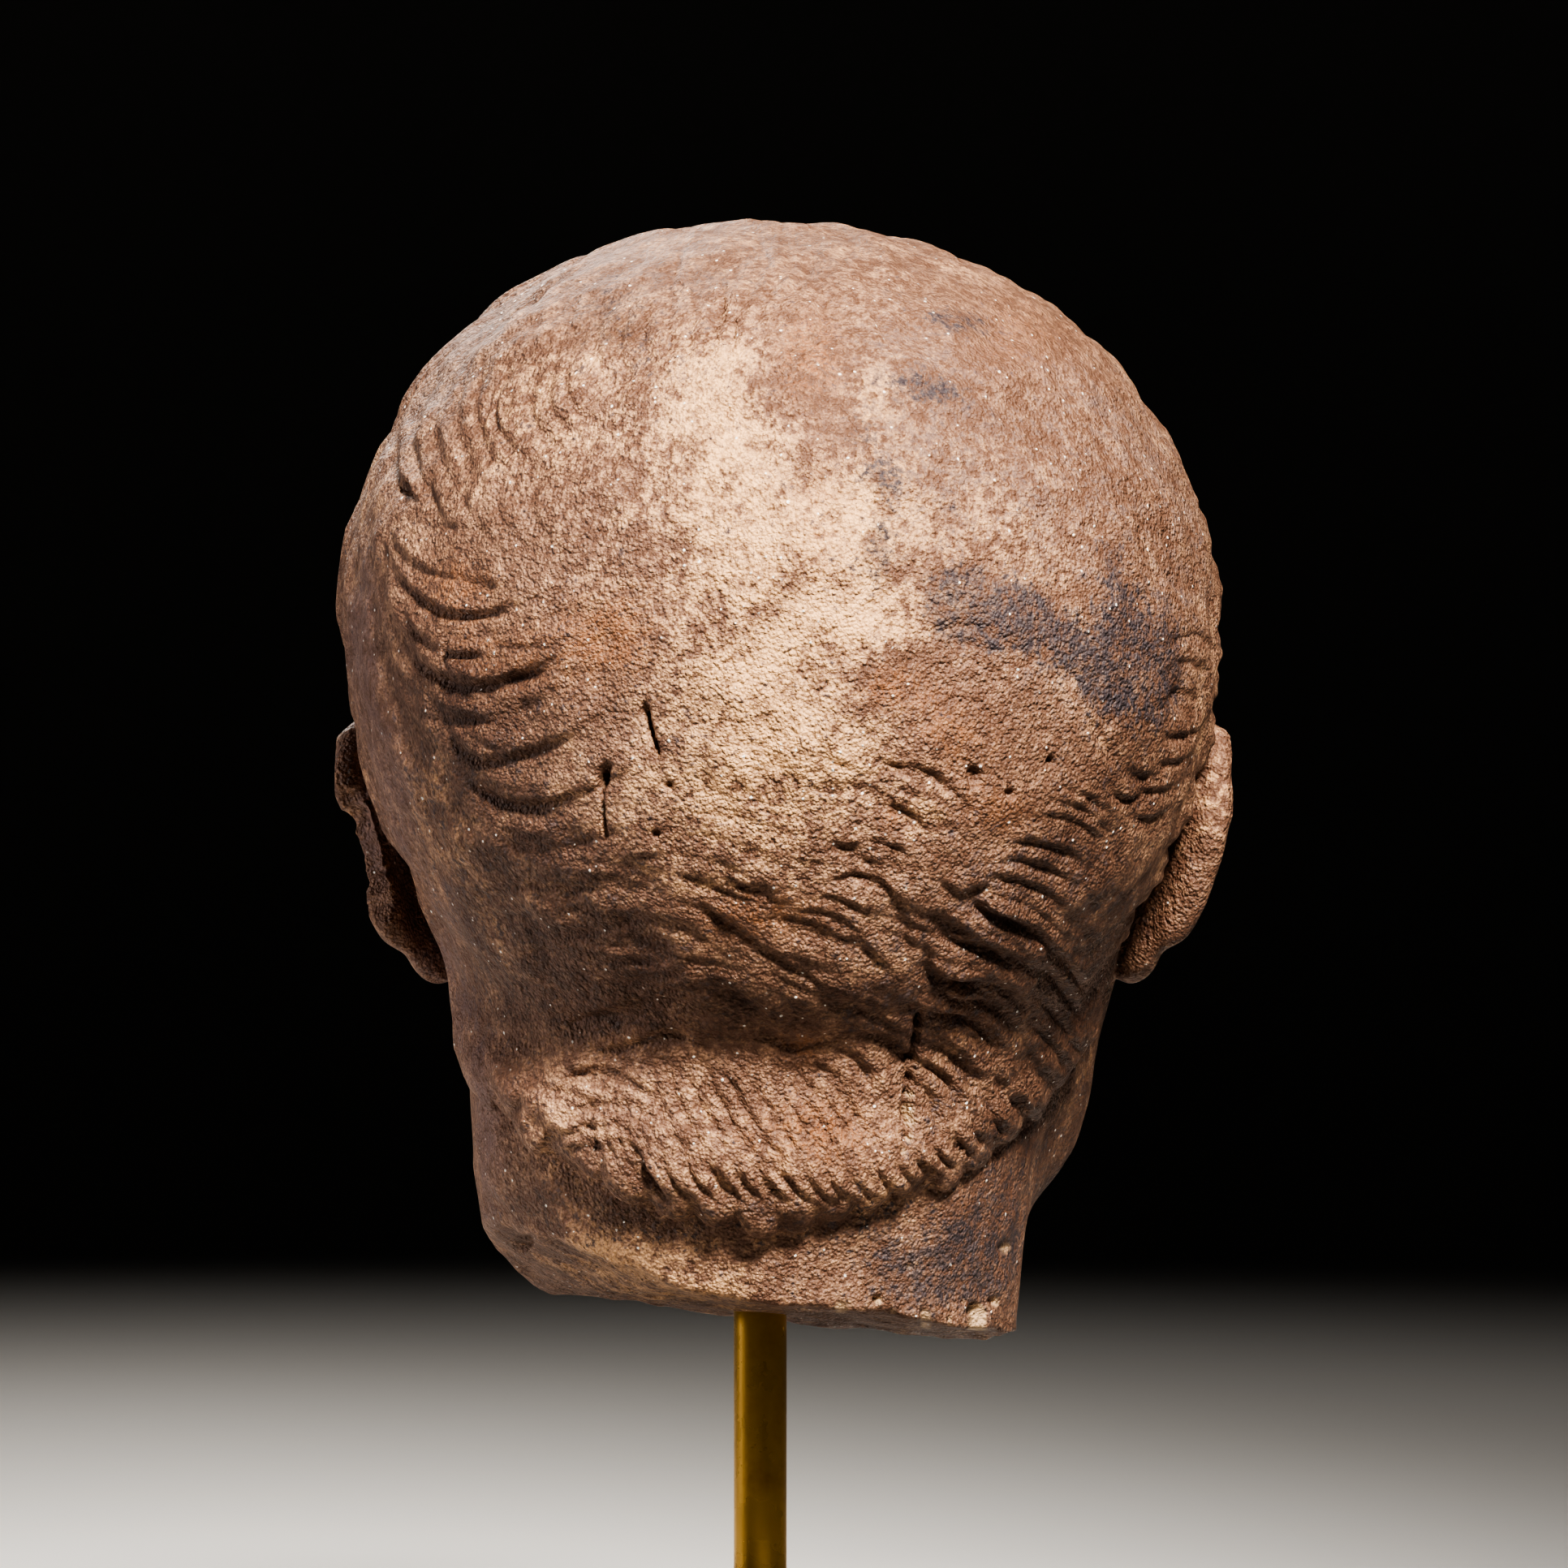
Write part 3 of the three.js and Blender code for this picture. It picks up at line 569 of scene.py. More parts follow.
def seen_from_behind(x, y, z):
    """Where the camera sees a point of the head, on the same millimetre scale."""
    camera_x, camera_y, camera_z = np.array(CAMERA_PLACE) / MM - HEAD_ORIGIN
    scale = FRAME_DISTANCE / (camera_y - y)
    return (x - camera_x) * scale, (z - camera_z) * scale


def stroke_path(stroke):
    """Points along a smooth curve through the stroke's places, which are evenly spaced on it."""
    parts = 14
    places = np.array([seen_mm(*stroke[i:i + 2]) for i in range(0, len(stroke), 2)])
    curve = np.linalg.solve(np.vander(np.linspace(0, 1, len(places))), places)
    return np.vander(np.linspace(0, 1, parts + 1), len(places)) @ curve


class Slate:
    """The relief of the back, drawn flat as the camera sees it. Heights are millimetres."""

    def __init__(self):
        self.height = np.zeros(SLATE_SIZE, np.float32)
        steps = [SLATE_LOW[i] + SLATE_STEP * np.arange(SLATE_SIZE[i]) for i in range(2)]
        self.x, self.z = np.meshgrid(*steps, indexing="ij")
        self.waver = rough(self.x, 0 * self.x, self.z, 9, 6)
        self.chatter = rough(self.x, 0 * self.x, self.z, 3.2, 7)

    def window(self, path, reach):
        low = np.floor((path.min(0) - reach - SLATE_LOW) / SLATE_STEP).astype(int)
        high = np.ceil((path.max(0) + reach - SLATE_LOW) / SLATE_STEP).astype(int)
        return tuple(slice(max(0, low[i]), min(SLATE_SIZE[i], high[i] + 1)) for i in range(2))

    def groove(self, path, depth, half_width, taper=0.7, step_share=STEP_SHARE):
        """Cuts a groove that fades at its ends. The lock on the crown's side stands over the other one."""
        area = self.window(path, half_width * LOCK_REACH * 2)
        x, z = self.x[area], self.z[area]
        gap = np.full(x.shape, 1e9)
        along = np.zeros(x.shape)
        side = np.zeros(x.shape)
        parts = len(path) - 1
        chord, to_crown = path[-1] - path[0], seen_mm(*CROWN_SEEN) - path[parts // 2]
        crown_side = chord[0] * to_crown[1] - chord[1] * to_crown[0]
        for i in range(parts):
            step = path[i + 1] - path[i]
            t = np.clip(((x - path[i][0]) * step[0] + (z - path[i][1]) * step[1]) / (step @ step), 0, 1)
            distance = np.hypot(x - path[i][0] - step[0] * t, z - path[i][1] - step[1] * t)
            nearer = distance < gap
            gap = np.where(nearer, distance, gap)
            along = np.where(nearer, (i + t) / parts, along)
            side = np.where(nearer, step[0] * (z - path[i][1]) - step[1] * (x - path[i][0]), side)
        width = half_width * (1 + 0.3 * self.chatter[area])
        gap = np.sign(side * crown_side) * gap + 0.5 * half_width * self.waver[area]
        fade = np.sin(np.pi * np.clip(along, 0.03, 0.97)) ** taper
        cut = np.exp(-(gap / width) ** 2)
        stand = np.tanh(gap / width) * np.exp(-np.abs(gap) / (LOCK_REACH * half_width))
        self.height[area] += depth * fade * (step_share * stand - (1 - 0.5 * step_share) * cut)

    def pit(self, place, depth, radius):
        area = self.window(np.array([place]), radius * 2)
        x, z = self.x[area], self.z[area]
        gap = np.hypot(x - place[0], z - place[1]) * (1 + 0.5 * self.chatter[area]) / radius
        self.height[area] -= depth * np.exp(-gap ** 4)

    def read(self, x, z):
        """Heights at seen places, blended between the slate's points."""
        u = np.clip((x - SLATE_LOW[0]) / SLATE_STEP, 0, SLATE_SIZE[0] - 2)
        v = np.clip((z - SLATE_LOW[1]) / SLATE_STEP, 0, SLATE_SIZE[1] - 2)
        i, j = u.astype(int), v.astype(int)
        u, v = u - i, v - j
        near = mix(self.height[i, j], self.height[i + 1, j], u)
        far = mix(self.height[i, j + 1], self.height[i + 1, j + 1], u)
        return mix(near, far, v)


carving, damage, chips = Slate(), Slate(), Slate()
chance = np.random.default_rng(5)
for depth, half_width, first, *fan in FANS:
    last, count = fan or (first, 1)
    for number in range(count):
        share = number / max(1, count - 1)
        stroke = [mix(a, b, share) for a, b in zip(first, last)]
        carving.groove(stroke_path(stroke), depth * GROOVE_DEPTH, half_width)
for count, (left, top, right, bottom), (left_angle, right_angle), bend in SCATTERED_STRANDS:
    for _ in range(count):
        across, down = chance.random(), chance.random()
        tilt = chance.uniform(-STRAND_TILT, STRAND_TILT)
        angle = math.radians(mix(left_angle, right_angle, across) + tilt)
        reach = chance.uniform(*STRAND_REACH)
        reach_x, reach_y = reach * math.cos(angle), reach * math.sin(angle)
        middle_x, middle_y = mix(left, right, across), mix(top, bottom, down)
        stroke = (
            middle_x - reach_x, middle_y - reach_y,
            middle_x + bend * reach_y, middle_y - bend * reach_x,
            middle_x + reach_x, middle_y + reach_y,
        )
        depth, half_width = chance.uniform(*STRAND_DEPTH), chance.uniform(*STRAND_HALF_WIDTH)
        carving.groove(stroke_path(stroke), depth, half_width)
for depth, half_width, stroke in CRACKS:
    damage.groove(stroke_path(stroke), depth, half_width, taper=0.35, step_share=0)
for depth, radius, place in PITS:
    damage.pit(seen_mm(*place), depth, radius)
for depth, radius, place in CHIPS:
    chips.pit(seen_mm(*place), depth, radius)


def relief(points, normals):
    """How far the worn locks, the damage and the grain stand over the smooth form, in millimetres."""
    x, y, z = points.T
    seen_x, seen_z = seen_from_behind(x, y, z)
    in_hair = smoothstep(0, 3, hair_depth(x, y, z))
    behind = smoothstep(0.02, 0.25, normals[:, 1]) * smoothstep(-10, 25, y)
    carved = carving.read(seen_x, seen_z) * (0.25 + 0.75 * in_hair)
    worn = 1 - 0.55 * smoothstep(20, -50, x) * smoothstep(-40, 20, y) * smoothstep(20, 60, z)
    locks = LOCK_RELIEF * worn * (tiers(x, y, z) - 0.45) * in_hair
    height = mix(locks, 0.14 * locks + carved, behind)
    height = height + behind * (damage.read(seen_x, seen_z) + chips.read(seen_x, seen_z))
    weathered = (0.2 + 0.25 * behind) * rough(x, y, z, 7, 8)
    grain = 0.14 * behind * rough(x, y, z, 2.6, 9)
    height = height + weathered + grain
    on_break = smoothstep(3.5, 1.5, z - plane_height(NECK_BREAK, x, y))
    return height * (1 - on_break * (1 - behind))


def mesh_of(points, faces, name):
    mesh = bpy.data.meshes.new(name)
    mesh.from_pydata(points, [], faces)
    mesh.update()
    return mesh


def with_modifier(mesh, kind, **settings):
    """The mesh that a modifier makes of a mesh."""
    carrier = placed("carrier", mesh)
    modifier = carrier.modifiers.new(kind, kind)
    for key, value in settings.items():
        setattr(modifier, key, value)
    depsgraph = bpy.context.evaluated_depsgraph_get()
    result = bpy.data.meshes.new_from_object(carrier.evaluated_get(depsgraph))
    bpy.data.objects.remove(carrier)
    return result


def points_of(mesh):
    """A mesh's points in millimetres from the point midway between the ears."""
    flat = np.empty(len(mesh.vertices) * 3, np.float32)
    mesh.vertices.foreach_get("co", flat)
    return flat.reshape(-1, 3).astype(float) / MM - HEAD_ORIGIN


def put_points(mesh, points):
    mesh.vertices.foreach_set("co", ((points + HEAD_ORIGIN) * MM).astype(np.float32).ravel())
    mesh.update()


def merged_copy(node):
    """A CAD node's mesh with its loose triangles joined up."""
    joined = bmesh.new()
    joined.from_mesh(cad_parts[node].data)
    bmesh.ops.remove_doubles(joined, verts=joined.verts, dist=1e-6)
    mesh = bpy.data.meshes.new(node + "_copy")
    joined.to_mesh(mesh)
    joined.free()
    return mesh


# The carving needs facets well under a millimetre. The smooth form is settled first in coarse facets and
# then in fine ones, the relief is cut into these, and the mesh is thinned where the stone is smooth.
COARSE_FACET = 1.6
FINE_FACET = 0.64
MOST_TRIANGLES = 196000

coarse = with_modifier(merged_copy("marble_head"), "REMESH", mode="VOXEL", voxel_size=COARSE_FACET * MM)
put_points(coarse, settled(points_of(coarse), broken_form, rounds=4))
fine = with_modifier(coarse, "REMESH", mode="VOXEL", voxel_size=FINE_FACET * MM)
points = settled(points_of(fine), broken_form, rounds=2)
normals = normals_of(gap_and_slope(head_form, points)[1])
put_points(fine, points + normals * relief(points, normals)[:, None])
triangles = sum(len(face.vertices) - 2 for face in fine.polygons)
marble_mesh = with_modifier(fine, "DECIMATE", ratio=min(1, MOST_TRIANGLES / triangles))
low, high = (np.array(corner) / MM - HEAD_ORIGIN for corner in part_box("marble_head"))
put_points(marble_mesh, np.clip(points_of(marble_mesh), low + 0.01, high - 0.01))
marble_mesh.shade_smooth()
marble_head = placed("carved_marble_head", marble_mesh)


def stone_patches(points, normals):
    """Where the patina of the stone changes or light and shade are painted on it, as shares from 0 to 1 for
    each point, by name.
    """
    x, y, z = points.T
    seen_x, seen_z = seen_from_behind(x, y, z)
    behind = smoothstep(-0.05, 0.3, normals[:, 1])

    def blotch(pixel_x, pixel_y, half_width, half_height, strength=1):
        middle_x, middle_z = seen_mm(pixel_x, pixel_y)
        away = ((seen_x - middle_x) / half_width) ** 2 + ((seen_z - middle_z) / half_height) ** 2
        return np.exp(-away) * strength

    shares = {}
    for name, places in PATCHES.items():
        shares[name] = np.clip(sum(blotch(*place) for place in places), 0, 1) * behind
    return shares


# Soft spots of each colour, seen from behind: the middle in pixels of the photograph, half the width and
# half the height in millimetres, and the strength where it isn't 1
# The pale spots are partly painted light, the dark brown spots are painted shade, and the grey spots on the
# left edge are a painted highlight
PATCHES = {
    # Pale spots: the middle of the back rubbed pale with a painted pool of light over it, and painted light
    # on the lit neck and the right ear's rim
    "rubbed_pale_and_painted_light": [
        (872, 480, 9, 10, 0.5), (915, 590, 11, 16, 0.6), (965, 740, 18, 20, 0.5), (1075, 770, 12, 9, 0.5),
        (930, 860, 18, 18, 0.5), (1075, 480, 6, 6, 0.5), (1000, 930, 14, 10, 0.5), (1140, 1000, 7, 5, 0.6),
        (740, 1555, 16, 5, 0.6), (640, 520, 16, 16, 0.3), (1050, 620, 9, 12, 0.5), (1230, 620, 22, 20, 0.3),
        (820, 640, 16, 22, 0.3), (900, 1010, 18, 12, 0.4), (900, 1390, 30, 12, 0.25),
        (1492, 985, 5, 12, 0.6), (860, 1590, 20, 4, 0.5), (850, 1100, 18, 8, 0.2),
    ],
    "rust": [
        (1010, 650, 6, 12), (1100, 840, 10, 5), (1240, 1000, 9, 7), (1105, 1005, 4, 3), (985, 1285, 6, 4),
        (620, 830, 16, 10), (760, 780, 10, 10), (1000, 440, 8, 10), (1250, 420, 16, 10), (1180, 900, 12, 8),
        (1200, 1240, 10, 10), (560, 720, 8, 8), (930, 1130, 14, 6), (1000, 1400, 16, 8),
    ],
    # Dark brown spots where the head turns away from the light, under the skull's overhang, at the hollows
    # of the neck and below the fringe: painted shade
    "painted_shade": [
        (690, 1090, 22, 18), (660, 1200, 22, 16), (900, 1225, 30, 9), (610, 1000, 12, 14), (760, 400, 8, 7),
        (1345, 1340, 8, 24), (1310, 1480, 8, 10), (1270, 1180, 18, 26), (1240, 1330, 14, 18),
        (720, 1480, 22, 7), (560, 900, 8, 14), (1400, 900, 9, 14), (620, 860, 20, 9), (960, 1500, 30, 4),
        (1330, 1080, 12, 20), (1110, 1230, 14, 8),
    ],
    "blue": [
        (1165, 390, 6, 2), (1190, 402, 5, 2), (1130, 470, 6, 2), (1160, 488, 6, 2), (1085, 660, 3, 4),
        (1078, 700, 4, 3), (1168, 722, 6, 4), (1205, 734, 7, 5), (1250, 748, 7, 5), (1290, 775, 7, 5),
        (1330, 805, 7, 5), (1372, 835, 7, 6), (1412, 858, 7, 7), (1388, 760, 5, 8), (1370, 690, 3, 7),
        (1180, 768, 6, 4), (1222, 788, 6, 3), (1060, 530, 3, 3), (1150, 1560, 18, 11), (1240, 1500, 9, 14),
        (1090, 590, 4, 4), (1440, 800, 4, 8),
    ],
    "veil": [
        (1150, 430, 18, 10), (1240, 500, 20, 14), (1340, 600, 18, 20), (1420, 720, 12, 22),
        (1120, 560, 10, 12), (800, 340, 20, 8, 0.7), (1220, 840, 20, 12, 0.8), (1150, 1140, 16, 14, 0.6),
        (1280, 1080, 18, 12, 0.7),
    ],
    # Grey spots along the left edge, where the left lamp grazes the stone: a painted highlight
    "painted_sheen": [(480, 1000, 7, 20), (540, 1200, 7, 22), (590, 1400, 6, 22), (440, 760, 5, 30)],
}


final_points = points_of(marble_mesh)
final_gap, final_slope = gap_and_slope(head_form, final_points)
final_normals = normals_of(final_slope)
shares = stone_patches(final_points, final_normals)
# A point under the smooth form lies in a groove, and the material darkens it there towards dark brown
shares["hollow"] = smoothstep(0.2, 2.2, -final_gap)
seen = seen_from_behind(*final_points.T)
shares["fresh"] = smoothstep(-0.3, -1.2, chips.read(*seen)) * smoothstep(-0.1, 0.2, final_normals[:, 1])
for name, values in shares.items():
    layer = marble_mesh.attributes.new(name, "FLOAT", "POINT")
    layer.data.foreach_set("value", values.astype(np.float32))


class Finish:
    """A material's node tree, put together a node at a time."""

    def __init__(self, name):
        self.material = bpy.data.materials.new(name)
        self.material.use_nodes = True
        self.tree = self.material.node_tree
        self.shader = self.tree.nodes["Principled BSDF"]
        self.place = self.node("ShaderNodeTexCoord").outputs["Object"]

    def node(self, kind, **settings):
        made = self.tree.nodes.new(kind)
        for key, value in settings.items():
            setattr(made, key, value)
        return made

    def feed(self, socket, value):
        if isinstance(value, bpy.types.NodeSocket):
            self.tree.links.new(value, socket)
        else:
            socket.default_value = value

    def noise(self, size, detail, roughness, stretch=(1, 1, 1), twist=0.0):
        """Noise whose features are about one size across, in metres."""
        mapping = self.node("ShaderNodeMapping")
        self.feed(mapping.inputs["Vector"], self.place)
        self.feed(mapping.inputs["Scale"], stretch)
        noise = self.node("ShaderNodeTexNoise")
        self.feed(noise.inputs["Vector"], mapping.outputs["Vector"])
        self.feed(noise.inputs["Scale"], 1 / size)
        self.feed(noise.inputs["Detail"], detail)
        self.feed(noise.inputs["Roughness"], roughness)
        self.feed(noise.inputs["Distortion"], twist)
        return noise.outputs["Fac"]

    def cells(self, size, output="Distance"):
        cells = self.node("ShaderNodeTexVoronoi")
        self.feed(cells.inputs["Vector"], self.place)
        self.feed(cells.inputs["Scale"], 1 / size)
        return cells.outputs[output]

    def share(self, name):
        return self.node("ShaderNodeAttribute", attribute_name=name).outputs["Fac"]

    def reckon(self, operation, a, b):
        step = self.node("ShaderNodeMath", operation=operation)
        self.feed(step.inputs[0], a)
        self.feed(step.inputs[1], b)
        return step.outputs[0]

    def times(self, a, b):
        return self.reckon("MULTIPLY", a, b)

    def minus(self, a, b):
        return self.reckon("SUBTRACT", a, b)

    def total(self, *terms):
        """A sum of values, each times its own factor."""
        result = 0.0
        for value, factor in terms:
            result = self.reckon("ADD", result, self.times(value, factor))
        return result

    def between(self, value, low, high):
        """0 at the low value, 1 at the high one, and a smooth step in between."""
        span = self.node("ShaderNodeMapRange", interpolation_type="SMOOTHSTEP")
        self.feed(span.inputs["Value"], value)
        self.feed(span.inputs["From Min"], low)
        self.feed(span.inputs["From Max"], high)
        return span.outputs["Result"]

    def blend(self, share, under, over):
        """One colour over another. The node's sockets share their names, so their places are used."""
        mixer = self.node("ShaderNodeMix", data_type="RGBA")
        colour_a, colour_b, colour_result = mixer.inputs[6], mixer.inputs[7], mixer.outputs[2]
        self.feed(mixer.inputs["Factor"], share)
        self.feed(colour_a, under)
        self.feed(colour_b, over)
        return colour_result

    def bump(self, height, depth):
        """Small relief in the shading, up to a depth in metres."""
        bump = self.node("ShaderNodeBump")
        self.feed(bump.inputs["Height"], height)
        self.feed(bump.inputs["Distance"], depth)
        return bump.outputs["Normal"]

    def dressed(self, looks):
        """The material, with its shader's sockets fed by name."""
        for name, value in looks.items():
            self.feed(self.shader.inputs[name], value)
        return self.material


def colour(red, green, blue):
    """A colour given as it looks on a screen, from 0 to 255."""
    return (*((value / 255) ** 2.2 for value in (red, green, blue)), 1)


CREAM = colour(232, 182, 134)
PALE_TAN = colour(170, 132, 106)
TAN = colour(110, 80, 64)
UMBER = colour(62, 40, 30)
RUST = colour(148, 98, 64)
BLUE_GREY = colour(66, 60, 64)
# White of the painted glints
PAINTED_GLINT_WHITE = colour(252, 248, 240)
FRESH_BREAK = colour(196, 164, 130)
# Grey of the painted highlight along the left edge
PAINTED_SHEEN_GREY = colour(128, 104, 102)
VEIL_GREY = colour(112, 92, 86)
GRAIN_SIZE = 0.0013


def old_marble():
    """Coarse sugary marble under a warm brown skin, rubbed pale in places, with painted light and shade in
    spots and a few grains painted white as glints.
    """
    stone = Finish("old_marble")
    wide, middle = stone.noise(0.03, 5, 0.6), stone.noise(0.008, 6, 0.7)
    fine, speckle = stone.noise(0.0025, 4, 0.75), stone.noise(0.0011, 3, 0.7)
    # Rounded grains of the marble with pits in between, as a height from 0 to about 1
    nodules = stone.minus(1.0, stone.cells(GRAIN_SIZE))
    crumbs = stone.minus(1.0, stone.cells(GRAIN_SIZE / 2))
    dust = stone.noise(0.0006, 2, 0.6)
    sugar = stone.total((nodules, 0.25), (crumbs, 0.25), (speckle, 0.3), (dust, 0.2))
    # Fine mottling, coarse drift and small flecks, whose values lie evenly on both sides of 0
    mottle = stone.total((wide, 0.25), (middle, 0.35), (fine, 0.9), (sugar, 0.4), (1.0, -0.98))
    drift = stone.total((wide, 1.0), (middle, 0.8), (1.0, -0.9))
    flecks = stone.total((fine, 0.7), (speckle, 0.5), (middle, -0.3), (1.0, -0.45))
    rubbed_pale_and_painted_light, rust, painted_shade, blue, veil, painted_sheen = map(stone.share, PATCHES)
    # The coats over the skin: what spreads each one, where it begins and is full, its strength and colour
    coats = [
        ([(rust, 0.2), (drift, 0.4), (flecks, 1.4)], 0.08, 0.36, 1.0, RUST),
        # Pale coat: stone rubbed pale, and painted light where the back, the neck and the right ear's rim
        # are lit
        ([(rubbed_pale_and_painted_light, 0.54), (rust, -0.12), (drift, 0.5), (mottle, 1.6)], 0.02, 0.62, 0.95, CREAM),
        # Dark brown coat: fine flecks all over, and painted shade where the spots of painted shade lie
        ([(painted_shade, 0.3), (flecks, 1.6)], 0.1, 0.46, 0.85, UMBER),
        # Grey coat along the left edge: a painted highlight
        ([(painted_sheen, 0.3), (flecks, 1.0)], 0.1, 0.4, 0.6, PAINTED_SHEEN_GREY),
        ([(veil, 0.2), (drift, 0.7), (flecks, 2.2)], 0.12, 0.4, 0.7, VEIL_GREY),
        ([(blue, 0.38), (drift, 0.4), (flecks, 1.8)], 0.12, 0.5, 0.9, BLUE_GREY),
    ]
    paint = stone.blend(stone.between(mottle, -0.13, 0.13), TAN, PALE_TAN)
    for spread, begins, full, strength, coat in coats:
        cover = stone.between(stone.total(*spread), begins, full)
        paint = stone.blend(stone.times(cover, strength), paint, coat)
    paint = stone.blend(stone.times(stone.share("hollow"), 0.35), paint, UMBER)
    paint = stone.blend(stone.share("fresh"), paint, FRESH_BREAK)
    # Now and then a grain is painted white as a glint, a painted highlight, and made glossier
    lucky = stone.node("ShaderNodeSeparateColor")
    stone.feed(lucky.inputs["Color"], stone.cells(GRAIN_SIZE, "Color"))
    small = stone.between(stone.total((stone.cells(GRAIN_SIZE), 1.0), (speckle, 0.5)), 0.48, 0.38)
    glint = stone.times(stone.between(lucky.outputs["Red"], 0.92, 0.94), small)
    return stone.dressed({
        "Base Color": stone.blend(glint, paint, PAINTED_GLINT_WHITE),
        "Roughness": stone.total((speckle, 0.4), (glint, -0.4), (1.0, 0.36)),
        "Specular IOR Level": 0.4,
        "Normal": stone.bump(stone.total((sugar, 0.8), (fine, 0.2)), 0.0019),
    })


marble_mesh.materials.clear()
marble_mesh.materials.append(old_marble())
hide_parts("marble_head")
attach(marble_head, "root")


# Brass rod
# A plain turned rod, polished and a little tarnished. It is cemented into the foot, and the head is lowered
# onto it by the hole in its neck.
ROD_SIDES = 96
ROD_CHAMFER = 0.0006
ROD_SHARP_ANGLE = math.radians(30)
BRASS = colour(206, 164, 90)
TARNISH = colour(150, 108, 58)

rod_low, rod_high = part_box("brass_rod")
rod_radius = (rod_high.x - rod_low.x) / 2


def circle(radius, height, sides):
    turns = [2 * math.pi * i / sides for i in range(sides)]
    return [(radius * math.cos(turn), radius * math.sin(turn), height) for turn in turns]


def turned(profile, sides, name):
    """A closed solid of revolution. Its profile of radii and heights starts and ends on the axis."""
    rings = [circle(radius, height, sides) for radius, height in profile[1:-1]]
    points = [(0, 0, profile[0][1]), (0, 0, profile[-1][1])] + [p for ring in rings for p in ring]
    top_ring = 2 + (len(rings) - 1) * sides
    faces = []
    for i in range(sides):
        j = (i + 1) % sides
        faces.append((0, 2 + j, 2 + i))
        faces.append((1, top_ring + i, top_ring + j))
        for ring in range(len(rings) - 1):
            a, b = 2 + ring * sides, 2 + (ring + 1) * sides
            faces.append((a + i, a + j, b + j, b + i))
    return mesh_of(points, faces, name)


rod_mesh = turned([
    (0, rod_low.z),
    (rod_radius - ROD_CHAMFER, rod_low.z),
    (rod_radius, rod_low.z + ROD_CHAMFER),
    (rod_radius, rod_high.z - ROD_CHAMFER),
    (rod_radius - ROD_CHAMFER, rod_high.z),
    (0, rod_high.z),
], ROD_SIDES, "turned_brass_rod")
rod_mesh.shade_smooth()
rod_mesh.set_sharp_from_angle(angle=ROD_SHARP_ANGLE)
rod = placed("turned_brass_rod", rod_mesh)


def tarnished_brass():
    brass = Finish("tarnished_brass")
    cloud = brass.noise(0.012, 4, 0.6)
    drawn = brass.noise(0.0012, 3, 0.6, stretch=(1, 1, 0.04))
    return brass.dressed({
        "Base Color": brass.blend(brass.between(cloud, 0.45, 0.9), BRASS, TARNISH),
        "Metallic": 1.0,
        "Roughness": brass.total((cloud, 0.25), (1.0, 0.16)),
        "Normal": brass.bump(drawn, 0.00004),
    })


rod_mesh.materials.append(tarnished_brass())
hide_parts("brass_rod")
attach(rod, "root")


# Stone foot
# A square block of dark honed stone, sawn to size, with its edges eased. The rod is set with cement in the
# hole drilled in its middle, and it carries the whole head.
EASED_EDGE = 0.0006
FOOT_SHARP_ANGLE = math.radians(25)
VEIN_HALF_WIDTH = 0.012

foot_mesh = with_modifier(
    merged_copy("base_block"), "BEVEL", width=EASED_EDGE, segments=2, limit_method="ANGLE",
    angle_limit=FOOT_SHARP_ANGLE,
)
foot_mesh.shade_smooth()
foot_mesh.set_sharp_from_angle(angle=FOOT_SHARP_ANGLE)
foot = placed("honed_stone_foot", foot_mesh)


def dark_stone():
    stone = Finish("honed_dark_stone")
    cloud, grain = stone.noise(0.03, 6, 0.6, twist=0.6), stone.noise(0.0011, 3, 0.7)
    off_vein = stone.minus(stone.noise(0.05, 8, 0.62, twist=1.4), 0.5)
    vein = stone.times(
        stone.between(off_vein, VEIN_HALF_WIDTH, 0.0), stone.between(off_vein, -VEIN_HALF_WIDTH, 0.0),
    )
    specks = stone.times(stone.between(grain, 0.55, 0.72), 0.35)
    paint = stone.blend(stone.between(cloud, 0.3, 0.7), colour(36, 35, 38), colour(60, 58, 60))
    paint = stone.blend(specks, paint, colour(96, 94, 96))
    paint = stone.blend(stone.times(vein, 0.35), paint, colour(140, 136, 132))
    return stone.dressed({
        "Base Color": paint,
        "Roughness": stone.total((grain, 0.2), (1.0, 0.36)),
        "Normal": stone.bump(grain, 0.00006),
    })


foot_mesh.materials.clear()
foot_mesh.materials.append(dark_stone())
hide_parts("base_block")
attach(foot, "root")


# Studio
# A plain pale floor that sweeps up all round into a plain wall, and soft round lamps. The key light stands
# high behind the head, a little to its right, and the room round it is dim, as in the photograph.
SWEEP = [(2.6, 0), (3.1, 0.04), (3.55, 0.2), (3.85, 0.5), (4.0, 0.95), (4.0, 3.2)]
SWEEP_SIDES = 96
FLOOR_LEVEL = -0.0002
ROOM_GLOW = 0.006

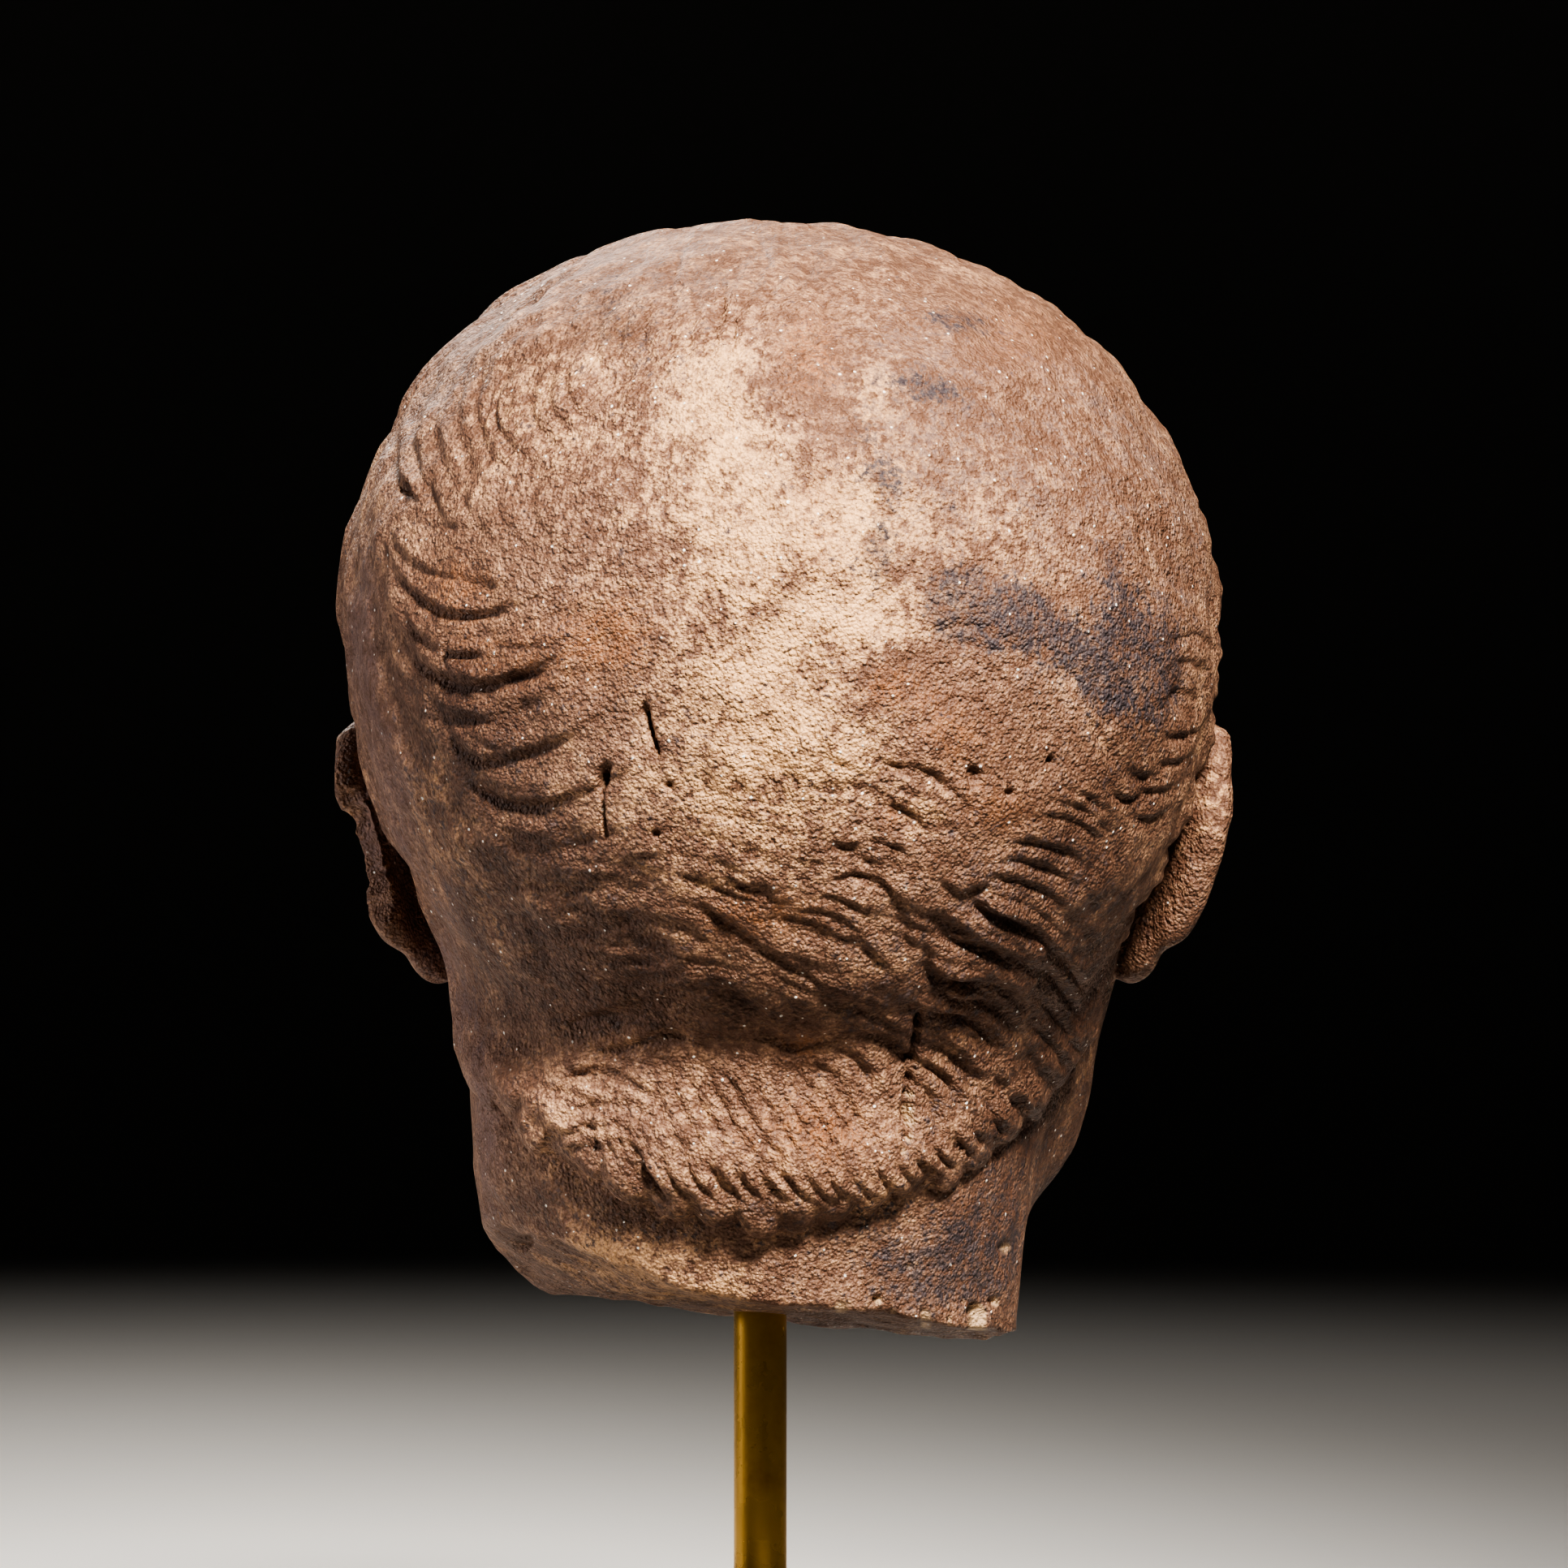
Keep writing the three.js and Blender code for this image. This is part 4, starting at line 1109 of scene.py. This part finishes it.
floor_points = [(0, 0, FLOOR_LEVEL)]
floor_faces = []
for ring, (radius, height) in enumerate(SWEEP):
    floor_points += circle(radius, height + FLOOR_LEVEL, SWEEP_SIDES)
    for i in range(SWEEP_SIDES):
        j = (i + 1) % SWEEP_SIDES
        a, b = 1 + (ring - 1) * SWEEP_SIDES, 1 + ring * SWEEP_SIDES
        floor_faces.append((0, b + i, b + j) if ring == 0 else (a + i, b + i, b + j, a + j))
floor_mesh = mesh_of(floor_points, floor_faces, "floor")
floor_mesh.shade_smooth()
paper = {"Base Color": colour(222, 220, 216), "Roughness": 0.85}
floor_mesh.materials.append(Finish("pale_floor").dressed(paper))
floor = placed("floor", floor_mesh)

HEAD_MIDDLE = Vector((0, 0, 0.2))
LIT_CROWN = Vector((0.03, 0, 0.19))
KEY_TINT = (1.0, 0.95, 0.89)


def soft_light(name, place, size, spread, watts, tint, aim=HEAD_MIDDLE):
    """A round lamp. Its size is in metres, and its spread in degrees from edge to edge of its cone."""
    data = bpy.data.lights.new(name, "AREA")
    data.shape = "DISK"
    data.size = size
    data.energy = watts
    data.color = tint
    data.spread = math.radians(spread)
    light = placed(name, data)
    light.location = place
    light.rotation_mode = "QUATERNION"
    light.rotation_quaternion = (aim - Vector(place)).to_track_quat("-Z", "Y")


soft_light("key", (-0.36, 1.1, 1.25), size=0.35, spread=24, watts=1.75, tint=KEY_TINT, aim=LIT_CROWN)
soft_light("left_rim", (1.25, -0.05, 0.35), size=0.15, spread=60, watts=0.7, tint=(1.0, 0.95, 0.96))
soft_light("right_rim", (-1.0, -0.2, 1.1), size=0.4, spread=60, watts=0.08, tint=(0.96, 0.97, 1.0))
soft_light("front_fill", (0.5, -1.6, 1.1), size=0.8, spread=80, watts=3, tint=(1.0, 0.95, 0.9))
bpy.context.scene.view_settings.look = "AgX - High Contrast"

world = bpy.data.worlds.new("studio_air")
world.use_nodes = True
world.node_tree.nodes["Background"].inputs["Color"].default_value = (0.9, 0.92, 0.95, 1)
world.node_tree.nodes["Background"].inputs["Strength"].default_value = ROOM_GLOW
bpy.context.scene.world = world
